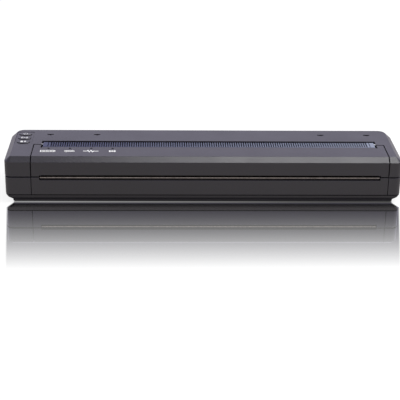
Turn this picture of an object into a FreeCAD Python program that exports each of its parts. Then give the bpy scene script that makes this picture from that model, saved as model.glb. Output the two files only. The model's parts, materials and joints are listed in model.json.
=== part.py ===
import FreeCAD, Part
import math
import os

# Portable printer for A4 sheets. +X runs to the right along the paper's width, -Y is the front
# with the paper exit, +Z is up. The origin is the middle of the underside, on the table.
# Lengths are millimetres.

# Paper path
PAPER_WIDTH = 210.0
PAPER_SIDE_PLAY = 4.5
PAPER_GAP = 1.2
SLOT_HEIGHT = 3.4
SLOT_DROP = 2.2

# Case
LEFT_BLOCK = 16.8
RIGHT_BLOCK = 8.5
EAR_WIDTH = 5.35
CASE_DEPTH = 55.0
CASE_HEIGHT = 30.0
SPLIT_HEIGHT = 17.2
WALL = 2.0
SIDE_WALL = 1.6
CORNER_FRONT = 4.0
CORNER_REAR = 8.0
CORNER_LEAST = 0.8
INNER_CORNER_FRONT = 1.2
INNER_CORNER_REAR = 3.5
TOP_CHAMFER_FRONT = 4.0
TOP_CHAMFER_SIDE = 3.5
TOP_CHAMFER_REAR = 1.5
TOP_CHAMFER_RISE = 2.8
SKIRT_HEIGHT = 4.6
SKIRT_INSET_SIDE = 4.5
SKIRT_INSET_ENDWISE = 2.0
SKIRT_LIP = 1.0
SPLIT_LINE = 1.0
SKIRT_LINE = 0.5
LINE_DEPTH = 1.2
SKIRT_BULGE_HEIGHT = 2.8
SKIRT_BULGE_SIDE = 1.2
SKIRT_BULGE_ENDWISE = 0.7

# Seams and clearances
COVER_SEAM = 0.6
PANEL_SEAM = 0.3
PART_GAP = 0.3
PIN_PLAY = 0.05
FIT = 0.1
TURN_PLAY = 0.06
PRESS_PLAY = 0.02

# Hooked foot of the front panel
HOOK_INSET = 2.0
HOOK_THICKNESS = 1.2
HOOK_DROP = 1.6
HOOK_RISE = 3.0

# Feet and screws
FOOT_PROUD = 0.6
FOOT_RADIUS = 4.0
FOOT_INSET_X = 19.5
FOOT_INSET_Y = 9.0
SCREW_HEAD_RADIUS = 1.8
SCREW_HEAD_HEIGHT = 1.0
SCREW_SHANK_RADIUS = 0.9
SCREW_LENGTH = 8.0
SCREW_SINK = 1.3
SCREW_HEAD_PLAY = 0.2
POST_RADIUS = 1.8
POST_BORE = 0.95
FRONT_POST_FROM_LEFT = 7.0
FRONT_POST_FROM_RIGHT = 6.3
FRONT_POST_FROM_FRONT = 7.2
REAR_POST_FROM_LEFT = 8.5
REAR_POST_FROM_RIGHT_SEAM = 2.2
REAR_POST_FROM_REAR = 4.6

# Cover hinge, at the rear edge of the cover
HINGE_FROM_FRONT = 29.4
HINGE_DEPTH = 1.6
HINGE_PIN_RADIUS = 0.8
HINGE_PIN_LENGTH = 7.6
HINGE_PIN_IN_COVER = 2.8
EAR_EDGE_FROM_FRONT = 25.9
EAR_SEAM = 0.8

# Ribbed paper guide along the cover's rear edge
STRIP_FRONT_FROM_FRONT = 21.0
STRIP_END_BLOCK = 3.3
STRIP_END_GAP = 0.5
SLIT_DEPTH = 1.2
NOTCH_WIDTH = 0.8
NOTCH_REACH = 1.0
LEDGE_MARGIN = 1.0
CHEEK_LIFT = 3.0
RIB_PITCH = 1.5
RIB_GROOVE = 0.75
RIB_DEPTH = 0.7
RIB_BORDER = 0.4

# Chute and inner guide, two arcs about one line
CHUTE_CENTRE_FROM_FRONT = 20.5
CHUTE_BELOW_NIP = 0.7
CHUTE_SHEET = 1.2
CHUTE_END_ANGLE = 91.0
GUIDE_SHEET = 1.0
GUIDE_START_ANGLE = 12.0
GUIDE_END_ANGLE = 66.0
GUIDE_FLANGE_INSET = 2.0
GUIDE_FLANGE_REAR = 0.4

# Platen
PLATEN_FROM_FRONT = 15.5
PLATEN_RADIUS = 5.0
PLATEN_OVERHANG = 2.0
SHAFT_RADIUS = 3.0
SHAFT_END_RADIUS = 2.0
SHAFT_REACH = 1.0
NIP_GAP = 0.3
NIP_BELOW_SPLIT = 0.2

# Gear train
MODULE = 0.5
PLATEN_TEETH = 32
REDUCTION_SMALL_TEETH = 16
REDUCTION_LARGE_TEETH = 36
MOTOR_TEETH = 12
ADDENDUM = 0.85
DEDENDUM = 1.2
PRESSURE_ANGLE = math.radians(20.0)
BACKLASH = 0.12
GEAR_WIDTH = 3.0
WHEEL_WIDTH = 2.5
GEAR_STANDOFF = 0.5
STUD_RADIUS = 1.5
STUD_HEAD_RADIUS = 2.6
STUD_HEAD_THICKNESS = 0.6
STUD_END_PLAY = 0.2

# Chassis and motor
CHASSIS_SHEET = 1.0
CHASSIS_LEFT_OFFSET = 2.1
CHASSIS_RIGHT_INSET = 3.0
CHASSIS_REAR = 32.9
CHASSIS_FLANGE = 3.0
PLATE_FRONT_MARGIN = 7.5
PLATE_TOP = 20.9
PLATE_CORNER_FRONT = 4.0
PLATE_CORNER_REAR = 2.0
BUSHING_WALL = 0.9
BUSHING_FLANGE = 0.8
MOTOR_RADIUS = 9.3
MOTOR_LENGTH = 15.0
MOTOR_SHAFT_RADIUS = 1.0
MOTOR_BOSS_RADIUS = 3.0
MOTOR_BORE_END = 2.0
MOTOR_SHAFT_END = 2.5

# Thermal head, carried by the cover
HEAD_OVERHANG = 2.0
SUBSTRATE_THICKNESS = 1.0
SUBSTRATE_FORE = 4.5
SUBSTRATE_AFT = 3.5
SINK_FORE = 6.5
SINK_AFT = 6.5
SINK_HEIGHT = 4.5
SINK_FIN_DEPTH = 2.2
SINK_FIN_GAP = 2.0
SINK_FIN_COUNT = 3
HEAD_PIVOT_AFT = 5.2
HEAD_PIVOT_UP = 3.9
HEAD_PIVOT_RADIUS = 1.1
HEAD_PIVOT_ROOT = 2.0
FRAME_SHEET = 1.0
FRAME_FORE = 9.5
FRAME_WEB = 9.0
FRAME_TAB_BELOW = 1.9
FRAME_TAB_INSET = 2.0
FRAME_TAB_WIDTH = 15.0
SPRING_SHEET = 0.4
SPRING_WIDTH = 6.0
SPRING_SPAN = 24.0
SPRING_COUNT = 3
SPRING_PITCH = 66.0
SPRING_INSET = 0.3

# Exit guide under the slot
EXIT_SHEET = 0.6
EXIT_RECESS = 0.6
EXIT_TO_PLATEN = 3.8
EXIT_LEG = 8.0
EXIT_BELOW_NIP = 0.1

# Buttons
BUTTON_FROM_LEFT = 9.5
BUTTON_REAR_FROM_REAR = 10.0
BUTTON_PITCH = 7.5
BUTTON_LONG = 4.1
BUTTON_SHORT = 2.5
BUTTON_PROUD = 0.3
BUTTON_TRAVEL = 0.5
BUTTON_FLANGE = 0.7
BUTTON_FLANGE_THICKNESS = 0.6
BUTTON_STEM = 1.6
BUTTON_EDGE = 0.25
BEZEL_MARGIN_X = 1.5
BEZEL_MARGIN_Y = 1.7
BEZEL_CORNER = 2.0
BEZEL_DEPTH = 0.8
BEZEL_THICKNESS = 0.65
SWITCH_SIDE = 4.6
SWITCH_HEIGHT = 1.6
SWITCH_BORE_DEPTH = 1.2

# Boards, ports and battery
BOARD_DROP = 6.4
BOARD_THICKNESS = 1.2
BOARD_EDGE_GAP = 0.6
BOARD_RIGHT_INSET = 19.0
BOARD_LEFT_GAP = 1.0
BOARD_RAIL_WIDTH = 3.0
BOARD_RAIL_DEPTH = 6.0
BOARD_RAILS = (-90.0, -30.0, 30.0, 85.0)
CHIPS = ((-76.0, 9.0), (-20.0, 12.0), (8.0, 7.0), (60.0, 8.0))
CHIP_FROM_EDGE = 3.0
WING_UNDER_COVER = 2.0
WING_MARGIN = 1.0
CHIP_HEIGHT = 1.2
JACK_WIDTH = 8.4
JACK_HEIGHT = 5.8
JACK_LENGTH = 10.5
JACK_NOSE_RADIUS = 3.1
JACK_BORE_RADIUS = 2.75
JACK_PIN_RADIUS = 0.6
JACK_FROM_REAR = 14.6
JACK_SUNK = 0.6
JACK_BACK = 1.5
JACK_PIN_INSET = 1.0
DATA_WIDTH = 7.6
DATA_HEIGHT = 3.8
DATA_LENGTH = 5.8
DATA_SHELL = 0.4
DATA_TONGUE = 0.9
DATA_SUNK = 0.9
DATA_BACK = 1.0
DATA_TONGUE_INSET = 0.5
DATA_FROM_REAR = 25.6
JACK_PLAY = 0.1
PORT_PLAY = 0.3
PACK_LENGTH = 158.0
PACK_SECTION = 18.6
PACK_CORNER = 6.0
PACK_LIFT = 0.3
PACK_FROM_REAR_WALL = 0.4
PACK_FROM_RIGHT = 31.5
DOOR_MARGIN = 2.0
DOOR_FRONT_GAP = 0.9
DOOR_TONGUE = 1.5
DOOR_TONGUE_THICKNESS = 0.6
DOOR_TONGUE_HEIGHT = 0.7
DOOR_TONGUE_INSET = 2.0
DOOR_TONGUE_ROOT = 1.0
DOOR_GROOVE_INSET = 1.0
GRIP_COUNT = 4
GRIP_LENGTH = 24.0
GRIP_WIDTH = 1.0
GRIP_DEPTH = 0.4
GRIP_FROM_PACK_REAR = 3.0
CONTACT_BLOCK = 3.5
CONTACT_BLOCK_THICKNESS = 1.0
CONTACT_INSET = 2.0
CONTACT_COUNT = 3
BLADE_WIDTH = 3.0
BLADE_LOW = 6.0
BLADE_HIGH = 4.0
SENSOR_SIZE = (5.0, 3.6, 2.4)
SENSOR_FROM_CHUTE = 2.0
CABLE_SHEET = 0.4
CABLE_WIDTH = 8.0
CABLE_BEND = 3.0
CABLE_UP = 2.0

# Indicators on the cover
INDICATOR_FROM_SEAM = 10.2
INDICATOR_PITCH = 13.8
INDICATOR_FROM_FRONT = 18.2
INDICATOR_RADIUS = 0.8
INDICATOR_BELOW = 0.4
LED_HEIGHT = 0.6
LED_LENGTH = 1.6
LED_WIDTH = 1.2
LED_BOARD_THICKNESS = 1.0
LED_BOARD_FORE = 1.5
LED_BOARD_AFT = 1.2
LED_BOARD_LEFT = 2.0
LED_BOARD_RIGHT = 4.0
INDICATORS = ("power", "data", "status", "link")

# Pockets in the rear plate, both sides of the paper's middle line
POCKET_OFFSETS = (-106.0, -75.0, 75.0, 106.0)
POCKET_FROM_REAR = 10.4
POCKET_HALF = 3.0
POCKET_DEPTH = 0.6
POCKET_BAR = 0.7
POCKET_TAIL = 1.4

# Places worked out from the sizes above
SLOT_WIDTH = PAPER_WIDTH + 2 * PAPER_SIDE_PLAY
CASE_WIDTH = LEFT_BLOCK + EAR_WIDTH + SLOT_WIDTH + EAR_WIDTH + RIGHT_BLOCK
LEFT = -CASE_WIDTH / 2
RIGHT = CASE_WIDTH / 2
FRONT = -CASE_DEPTH / 2
REAR = CASE_DEPTH / 2
BASE = FOOT_PROUD
TOP = BASE + CASE_HEIGHT
FLOOR = BASE + WALL
CEILING = TOP - WALL
SPLIT = BASE + SPLIT_HEIGHT
SKIRT = BASE + SKIRT_HEIGHT
SEAM_LEFT = LEFT + LEFT_BLOCK
SEAM_RIGHT = RIGHT - RIGHT_BLOCK
SLOT_LEFT = SEAM_LEFT + EAR_WIDTH
SLOT_RIGHT = SEAM_RIGHT - EAR_WIDTH
PAPER_MIDDLE = (SLOT_LEFT + SLOT_RIGHT) / 2
HINGE_Y = FRONT + HINGE_FROM_FRONT
HINGE_Z = TOP - HINGE_DEPTH
EAR_EDGE = FRONT + EAR_EDGE_FROM_FRONT
PLATE_EDGE = HINGE_Y + HINGE_DEPTH + PAPER_GAP
STRIP_FRONT = FRONT + STRIP_FRONT_FROM_FRONT
STRIP_LEFT = SLOT_LEFT + NOTCH_WIDTH / 2
STRIP_RIGHT = SLOT_RIGHT - NOTCH_WIDTH / 2
RIBS_LEFT = STRIP_LEFT + STRIP_END_BLOCK + STRIP_END_GAP
RIBS_RIGHT = STRIP_RIGHT - STRIP_END_BLOCK - STRIP_END_GAP
LEDGE_TOP = CEILING
LEDGE_LOW = HINGE_Z - HINGE_DEPTH
LEDGE_REAR = HINGE_Y - HINGE_DEPTH - LEDGE_MARGIN
NIP_Z = SPLIT - NIP_BELOW_SPLIT
CHUTE_Y = FRONT + CHUTE_CENTRE_FROM_FRONT
CHUTE_RADIUS = PLATE_EDGE - CHUTE_Y
CHUTE_Z = NIP_Z - CHUTE_BELOW_NIP + CHUTE_RADIUS
PLATEN_Y = FRONT + PLATEN_FROM_FRONT
PLATEN_Z = NIP_Z - PLATEN_RADIUS
PLATEN_LEFT = SLOT_LEFT + PLATEN_OVERHANG
PLATEN_RIGHT = SLOT_RIGHT - PLATEN_OVERHANG
BUSHING_RADIUS = SHAFT_RADIUS + BUSHING_WALL
PLATEN_GEAR_R = MODULE * PLATEN_TEETH / 2
SMALL_R = MODULE * REDUCTION_SMALL_TEETH / 2
LARGE_R = MODULE * REDUCTION_LARGE_TEETH / 2
MOTOR_GEAR_R = MODULE * MOTOR_TEETH / 2
REDUCTION_Y = PLATEN_Y + PLATEN_GEAR_R + SMALL_R
MOTOR_Y = REDUCTION_Y + LARGE_R + MOTOR_GEAR_R
BLOCK_LEFT_EDGE = SEAM_LEFT - COVER_SEAM / 2
BLOCK_RIGHT_EDGE = SEAM_RIGHT + COVER_SEAM / 2
COVER_LEFT = SEAM_LEFT + COVER_SEAM / 2
COVER_RIGHT = SEAM_RIGHT - COVER_SEAM / 2
LEFT_PLATE = BLOCK_LEFT_EDGE - CHASSIS_LEFT_OFFSET
RIGHT_PLATE = SEAM_RIGHT - CHASSIS_RIGHT_INSET
GEARS_X = LEFT_PLATE - CHASSIS_SHEET - GEAR_STANDOFF
WHEEL_X = GEARS_X - GEAR_WIDTH - 2 * TURN_PLAY - GEAR_STANDOFF / 2
BOARD_Z = TOP - BOARD_DROP
SWITCH_TOP = BOARD_Z + BOARD_THICKNESS + SWITCH_HEIGHT
BUTTON_X = LEFT + BUTTON_FROM_LEFT
BUTTON_YS = [REAR - BUTTON_REAR_FROM_REAR - BUTTON_PITCH * i for i in range(3)]
PACK_RIGHT = RIGHT - PACK_FROM_RIGHT
PACK_LEFT = PACK_RIGHT - PACK_LENGTH
PACK_REAR = REAR - WALL - PACK_FROM_REAR_WALL
PACK_FRONT = PACK_REAR - PACK_SECTION
DOOR_LEFT = PACK_LEFT - DOOR_MARGIN
DOOR_RIGHT = PACK_RIGHT + DOOR_MARGIN
DOOR_FRONT = PACK_FRONT - DOOR_FRONT_GAP
INDICATOR_Y = FRONT + INDICATOR_FROM_FRONT
INDICATOR_XS = [SEAM_LEFT + INDICATOR_FROM_SEAM + INDICATOR_PITCH * i for i in range(4)]
FEET = [(x, y) for x in (LEFT + FOOT_INSET_X, RIGHT - FOOT_INSET_X)
        for y in (FRONT + FOOT_INSET_Y, REAR - FOOT_INSET_Y)]
POSTS = [
    (LEFT + FRONT_POST_FROM_LEFT, FRONT + FRONT_POST_FROM_FRONT),
    (LEFT + REAR_POST_FROM_LEFT, REAR - REAR_POST_FROM_REAR),
    (RIGHT - FRONT_POST_FROM_RIGHT, FRONT + FRONT_POST_FROM_FRONT),
    (SEAM_RIGHT - REAR_POST_FROM_RIGHT_SEAM, REAR - REAR_POST_FROM_REAR),
]
FAR = 400.0
OVER = 1.0


def box(x0, x1, y0, y1, z0, z1):
    return Part.makeBox(x1 - x0, y1 - y0, z1 - z0, FreeCAD.Vector(x0, y0, z0))


def rod_x(radius, x0, x1, y, z):
    return Part.makeCylinder(radius, x1 - x0, FreeCAD.Vector(x0, y, z), FreeCAD.Vector(1, 0, 0))


def rod_z(radius, z0, z1, x, y):
    return Part.makeCylinder(radius, z1 - z0, FreeCAD.Vector(x, y, z0), FreeCAD.Vector(0, 0, 1))


def polygon_x(points, x0, x1):
    """Extrude a closed outline of (y, z) points along X."""
    corners = [FreeCAD.Vector(x0, y, z) for y, z in points]
    face = Part.Face(Part.makePolygon(corners + corners[:1]))
    return face.extrude(FreeCAD.Vector(x1 - x0, 0, 0))


def polygon_z(points, z0, z1):
    """Extrude a closed outline of (x, y) points along Z."""
    corners = [FreeCAD.Vector(x, y, z0) for x, y in points]
    face = Part.Face(Part.makePolygon(corners + corners[:1]))
    return face.extrude(FreeCAD.Vector(0, 0, z1 - z0))


def long_edges(shape):
    """The edges that run along X."""
    return [edge for edge in shape.Edges if abs(edge.tangentAt(edge.FirstParameter).x) > 0.999]


def merge(first, *others):
    return first.fuse(list(others)).removeSplitter()


def on_circle(centre, radius, degrees):
    angle = math.radians(degrees)
    return centre[0] + radius * math.cos(angle), centre[1] + radius * math.sin(angle)


def outline_face(steps, x):
    """A face from steps of (y, z) for a line's end, or (y, z, y, z) for an arc's middle and end."""
    start = FreeCAD.Vector(x, steps[0][0], steps[0][1])
    edges = []
    here = start
    for step in steps[1:]:
        end = FreeCAD.Vector(x, step[-2], step[-1])
        if len(step) == 4:
            middle = FreeCAD.Vector(x, step[0], step[1])
            edges.append(Part.Arc(here, middle, end).toShape())
        else:
            edges.append(Part.makeLine(here, end))
        here = end
    edges.append(Part.makeLine(here, start))
    return Part.Face(Part.Wire(edges))


def extrude_x(face, length):
    return face.extrude(FreeCAD.Vector(length, 0, 0))


def arc_sheet(centre, outer, inner, start, end, x0, x1):
    """A curved sheet along X, between two radii and two angles measured from +Y towards +Z."""
    middle = (start + end) / 2
    steps = [
        on_circle(centre, outer, start),
        on_circle(centre, outer, middle) + on_circle(centre, outer, end),
        on_circle(centre, inner, end),
        on_circle(centre, inner, middle) + on_circle(centre, inner, start),
    ]
    return extrude_x(outline_face(steps, x0), x1 - x0)


def rounded_outline(x0, x1, y0, y1, front_radius, rear_radius, z):
    """A rectangle with its own corner radius at the front and at the rear."""
    corners = [
        (x1, y0, -90, front_radius),
        (x1, y1, 0, rear_radius),
        (x0, y1, 90, rear_radius),
        (x0, y0, 180, front_radius),
    ]
    arcs = []
    for x, y, start, radius in corners:
        centre = (x + radius * (-1 if x == x1 else 1), y + radius * (1 if y == y0 else -1))
        points = [on_circle(centre, radius, start + turn) for turn in (0, 45, 90)]
        arcs.append([FreeCAD.Vector(px, py, z) for px, py in points])
    edges = []
    for i, arc in enumerate(arcs):
        edges.append(Part.Arc(*arc).toShape())
        edges.append(Part.makeLine(arc[2], arcs[(i + 1) % len(arcs)][0]))
    return Part.Wire(edges)


def outer_section(z, side, front, rear):
    shrink = min(side, front, CORNER_FRONT - CORNER_LEAST)
    return rounded_outline(LEFT + side, RIGHT - side, FRONT + front, REAR - rear,
                           CORNER_FRONT - shrink, CORNER_REAR - shrink, z)


def inner_section(z, side, front, rear):
    """The cavity's outline, with straight corners."""
    x = RIGHT - side
    y0 = FRONT + front
    y1 = REAR - rear
    right_half = [
        (x - INNER_CORNER_FRONT, y0),
        (x, y0 + INNER_CORNER_FRONT),
        (x, y1 - INNER_CORNER_REAR),
        (x - INNER_CORNER_REAR, y1),
    ]
    left_half = [(-px, py) for px, py in reversed(right_half)]
    corners = [FreeCAD.Vector(px, py, z) for px, py in right_half + left_half]
    return Part.makePolygon(corners + corners[:1])


def case_form(wall):
    """The case as one solid, set in by a wall on every side: skirt, sides and top bevel."""

    def slant(run, rise):
        return math.hypot(run, rise)

    def top_inset(run):
        return run + wall * (slant(run, TOP_CHAMFER_RISE) - run) / TOP_CHAMFER_RISE

    skirt_rise = SKIRT_HEIGHT - SKIRT_LIP

    def low_inset(run, z):
        if z <= BASE + SKIRT_LIP:
            return run
        return wall * slant(run, skirt_rise) / skirt_rise + run * (SKIRT - z) / skirt_rise

    low_shoulder = SKIRT + wall * (slant(SKIRT_INSET_SIDE, skirt_rise) - skirt_rise) / SKIRT_INSET_SIDE
    bevel_slant = slant(TOP_CHAMFER_FRONT, TOP_CHAMFER_RISE) - TOP_CHAMFER_RISE
    high_shoulder = TOP - TOP_CHAMFER_RISE - wall * bevel_slant / TOP_CHAMFER_FRONT
    bottom = BASE + wall
    sections = [(bottom, low_inset(SKIRT_INSET_SIDE, bottom), low_inset(SKIRT_INSET_ENDWISE, bottom),
                 low_inset(SKIRT_INSET_ENDWISE, bottom))]
    if wall == 0:
        lip = BASE + SKIRT_LIP
        sections.append((lip, SKIRT_INSET_SIDE, SKIRT_INSET_ENDWISE, SKIRT_INSET_ENDWISE))
        sections.append((BASE + SKIRT_BULGE_HEIGHT, SKIRT_BULGE_SIDE, SKIRT_BULGE_ENDWISE,
                         SKIRT_BULGE_ENDWISE))
    sections.append((low_shoulder, wall, wall, wall))
    sections.append((high_shoulder, wall, wall, wall))
    sections.append((TOP - wall, top_inset(TOP_CHAMFER_SIDE), top_inset(TOP_CHAMFER_FRONT),
                     top_inset(TOP_CHAMFER_REAR)))
    outline = inner_section if wall else outer_section
    return Part.makeLoft([outline(*section) for section in sections], True, True)


OUTER = case_form(0)
INNER = case_form(WALL)
SHELL = OUTER.cut(INNER)


def shadow_line(low, high):
    """A groove all round the case, for the line of shadow at a parting plane."""
    slab = box(-FAR, FAR, -FAR, FAR, low, high)
    core = Part.Face(outer_section(low, LINE_DEPTH, LINE_DEPTH, LINE_DEPTH))
    return slab.cut(core.extrude(FreeCAD.Vector(0, 0, high - low)))


def split_line():
    return shadow_line(SPLIT - SPLIT_LINE / 2, SPLIT + SPLIT_LINE / 2)


def oval(x, y, long_half, short_half, z0, z1):
    """An upright oval cylinder, longer along X."""
    ellipse = Part.Ellipse(FreeCAD.Vector(x, y, z0), long_half, short_half)
    return Part.Face(Part.Wire(ellipse.toShape())).extrude(FreeCAD.Vector(0, 0, z1 - z0))


def pocket(x, y):
    """A shallow bar with a small tail towards the front."""
    points = [
        (x - POCKET_HALF, y + POCKET_BAR),
        (x + POCKET_HALF, y + POCKET_BAR),
        (x + POCKET_HALF, y - POCKET_BAR),
        (x + POCKET_HALF / 2, y - POCKET_BAR),
        (x, y - POCKET_BAR - POCKET_TAIL),
        (x - POCKET_HALF / 2, y - POCKET_BAR),
        (x - POCKET_HALF, y - POCKET_BAR),
    ]
    return polygon_z(points, TOP - POCKET_DEPTH, TOP + OVER)


def bezel_outline():
    x_half = BUTTON_LONG + BEZEL_MARGIN_X
    y_low = BUTTON_YS[-1] - BUTTON_SHORT - BEZEL_MARGIN_Y
    y_high = BUTTON_YS[0] + BUTTON_SHORT + BEZEL_MARGIN_Y
    return BUTTON_X - x_half, BUTTON_X + x_half, y_low, y_high


def bezel_solid(grow, z0, z1):
    x0, x1, y0, y1 = bezel_outline()
    radius = BEZEL_CORNER + grow
    wire = rounded_outline(x0 - grow, x1 + grow, y0 - grow, y1 + grow, radius, radius, z0)
    return Part.Face(wire).extrude(FreeCAD.Vector(0, 0, z1 - z0))


def jack_place():
    y = REAR - JACK_FROM_REAR
    return y, BOARD_Z - JACK_HEIGHT / 2


def data_place():
    y = REAR - DATA_FROM_REAR
    return y, BOARD_Z - DATA_HEIGHT / 2


def upper_case():
    body = SHELL.common(box(-FAR, FAR, -FAR, FAR, SPLIT, TOP + OVER))
    front_opening = box(BLOCK_LEFT_EDGE, BLOCK_RIGHT_EDGE, -FAR, EAR_EDGE, SPLIT - OVER, TOP + OVER)
    strip_opening = box(SLOT_LEFT - NOTCH_WIDTH / 2, SLOT_RIGHT + NOTCH_WIDTH / 2, EAR_EDGE - OVER,
                        PLATE_EDGE, SPLIT - OVER, TOP + OVER)
    body = body.cut([front_opening, strip_opening])
    inside = INNER.common(box(-FAR, FAR, -FAR, FAR, SPLIT, CEILING))
    left_cheek = inside.common(box(BLOCK_LEFT_EDGE - SIDE_WALL, BLOCK_LEFT_EDGE, -FAR, EAR_EDGE,
                                   SPLIT, CEILING))
    right_cheek = inside.common(box(BLOCK_RIGHT_EDGE, BLOCK_RIGHT_EDGE + SIDE_WALL, -FAR, EAR_EDGE,
                                    SPLIT, CEILING))
    ear_low = HINGE_Z - HINGE_DEPTH - PART_GAP
    left_ear = box(BLOCK_LEFT_EDGE - SIDE_WALL, SLOT_LEFT - NOTCH_WIDTH / 2, EAR_EDGE, PLATE_EDGE,
                   ear_low, CEILING)
    right_ear = box(SLOT_RIGHT + NOTCH_WIDTH / 2, BLOCK_RIGHT_EDGE + SIDE_WALL, EAR_EDGE, PLATE_EDGE,
                    ear_low, CEILING)
    posts = [INNER.common(rod_z(POST_RADIUS, FLOOR, CEILING, x, y)) for x, y in POSTS]
    board_top = BOARD_Z + BOARD_THICKNESS
    rails = [box(PAPER_MIDDLE + offset, PAPER_MIDDLE + offset + BOARD_RAIL_WIDTH,
                 REAR - WALL - BOARD_RAIL_DEPTH, REAR - WALL, board_top, CEILING)
             for offset in BOARD_RAILS]
    body = merge(body, left_cheek, right_cheek, left_ear, right_ear, *posts, *rails)
    jack_y, jack_z = jack_place()
    data_y, data_z = data_place()
    cuts = [split_line(), bezel_solid(FIT, TOP - BEZEL_DEPTH, TOP + OVER)]
    cuts.append(box(BUTTON_X - BUTTON_LONG - PART_GAP, BUTTON_X + BUTTON_LONG + PART_GAP,
                    BUTTON_YS[-1] - BUTTON_SHORT - PART_GAP, BUTTON_YS[0] + BUTTON_SHORT + PART_GAP,
                    CEILING - OVER, TOP))
    cuts += [pocket(PAPER_MIDDLE + offset, REAR - POCKET_FROM_REAR) for offset in POCKET_OFFSETS]
    cuts += [rod_z(POST_BORE, FLOOR - OVER, FLOOR + SCREW_LENGTH, x, y) for x, y in POSTS]
    cuts.append(rod_x(JACK_NOSE_RADIUS + JACK_PLAY, LEFT - OVER, LEFT + WALL + OVER, jack_y, jack_z))
    cuts.append(box(LEFT - OVER, LEFT + WALL + OVER, data_y - DATA_WIDTH / 2 - PORT_PLAY,
                    data_y + DATA_WIDTH / 2 + PORT_PLAY, data_z - DATA_HEIGHT / 2 - PORT_PLAY,
                    data_z + DATA_HEIGHT / 2 + PORT_PLAY))
    for x0, x1 in hinge_pin_spans():
        cuts.append(rod_x(HINGE_PIN_RADIUS + PIN_PLAY / 2, x0, x1, HINGE_Y, HINGE_Z))
    return body.cut(cuts)


def hinge_pin_spans():
    left_end = STRIP_LEFT + HINGE_PIN_IN_COVER
    right_end = STRIP_RIGHT - HINGE_PIN_IN_COVER
    return [(left_end - HINGE_PIN_LENGTH, left_end), (right_end, right_end + HINGE_PIN_LENGTH)]


def hinge_pin(index):
    x0, x1 = hinge_pin_spans()[index]
    return rod_x(HINGE_PIN_RADIUS, x0, x1, HINGE_Y, HINGE_Z)


def lower_case():
    body = SHELL.common(box(-FAR, FAR, -FAR, FAR, BASE - OVER, SPLIT))
    window = box(SEAM_LEFT - PANEL_SEAM / 2, SEAM_RIGHT + PANEL_SEAM / 2, -FAR, FRONT + WALL + OVER,
                 SKIRT, SPLIT + OVER)
    opening = box(DOOR_LEFT, DOOR_RIGHT, DOOR_FRONT, FAR, BASE - OVER, SKIRT)
    groove_low = BASE + DOOR_TONGUE_HEIGHT - FIT
    groove_high = BASE + DOOR_TONGUE_HEIGHT + DOOR_TONGUE_THICKNESS + FIT
    groove = box(DOOR_LEFT - DOOR_TONGUE - FIT, DOOR_RIGHT + DOOR_TONGUE + FIT,
                 DOOR_FRONT + DOOR_GROOVE_INSET, FAR, groove_low, groove_high)
    body = body.cut([window, opening, groove])
    bay_rib = [INNER.common(box(x0, x0 + SIDE_WALL, PACK_FRONT, FAR, FLOOR, SPLIT))
               for x0 in (PACK_LEFT - CONTACT_BLOCK - SIDE_WALL - PART_GAP, PACK_RIGHT + PART_GAP)]
    body = merge(body, *bay_rib)
    cuts = [split_line(), shadow_line(SKIRT, SKIRT + SKIRT_LINE), opening, groove]
    for x, y in POSTS:
        cuts.append(rod_z(SCREW_HEAD_RADIUS + SCREW_HEAD_PLAY, BASE - OVER, BASE + SCREW_SINK, x, y))
        cuts.append(rod_z(SCREW_SHANK_RADIUS + FIT, BASE, FLOOR + OVER, x, y))
    return body.cut(cuts)


def battery_door():
    """The sliding door: floor and skirt of the case between its seams, with a tongue at each end."""
    x0 = DOOR_LEFT + PANEL_SEAM / 2
    x1 = DOOR_RIGHT - PANEL_SEAM / 2
    skin = SHELL.common(box(x0, x1, DOOR_FRONT + PANEL_SEAM, FAR, BASE - OVER, SKIRT - PANEL_SEAM))
    skin = skin.cut(box(x0 - OVER, x1 + OVER, DOOR_FRONT - OVER, PACK_REAR, FLOOR, SKIRT + OVER))
    low = BASE + DOOR_TONGUE_HEIGHT
    tongues = [box(a, b, DOOR_FRONT + DOOR_TONGUE_INSET, PACK_REAR - DOOR_TONGUE_INSET, low,
                   low + DOOR_TONGUE_THICKNESS)
               for a, b in ((x0 - DOOR_TONGUE, x0 + DOOR_TONGUE_ROOT),
                            (x1 - DOOR_TONGUE_ROOT, x1 + DOOR_TONGUE))]
    middle = (x0 + x1) / 2
    rear_edges = [PACK_REAR - GRIP_FROM_PACK_REAR - 2 * GRIP_WIDTH * i for i in range(GRIP_COUNT)]
    grips = [box(middle - GRIP_LENGTH / 2, middle + GRIP_LENGTH / 2, y - GRIP_WIDTH, y, BASE - OVER,
                 BASE + GRIP_DEPTH) for y in rear_edges]
    return merge(skin, *tongues).cut(grips)


def front_panel():
    """The lower front skin, with the paper slot's sill and a hooked foot behind the skirt."""
    rear = FRONT + WALL
    skin = SHELL.common(box(SEAM_LEFT + PANEL_SEAM / 2, SEAM_RIGHT - PANEL_SEAM / 2, -FAR, rear,
                            SKIRT + SKIRT_LINE, SPLIT - PART_GAP))
    slot = box(SLOT_LEFT, SLOT_RIGHT, -FAR, FAR, SPLIT - SLOT_DROP, SPLIT + OVER)
    hook = box(SEAM_LEFT + HOOK_INSET, SEAM_RIGHT - HOOK_INSET, rear, rear + HOOK_THICKNESS,
               SKIRT - HOOK_DROP, SKIRT + HOOK_RISE)
    skirt = SHELL.common(box(-FAR, FAR, -FAR, rear + HOOK_THICKNESS, BASE, SKIRT))
    return merge(skin.cut(slot), hook).cut(skirt)


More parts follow.
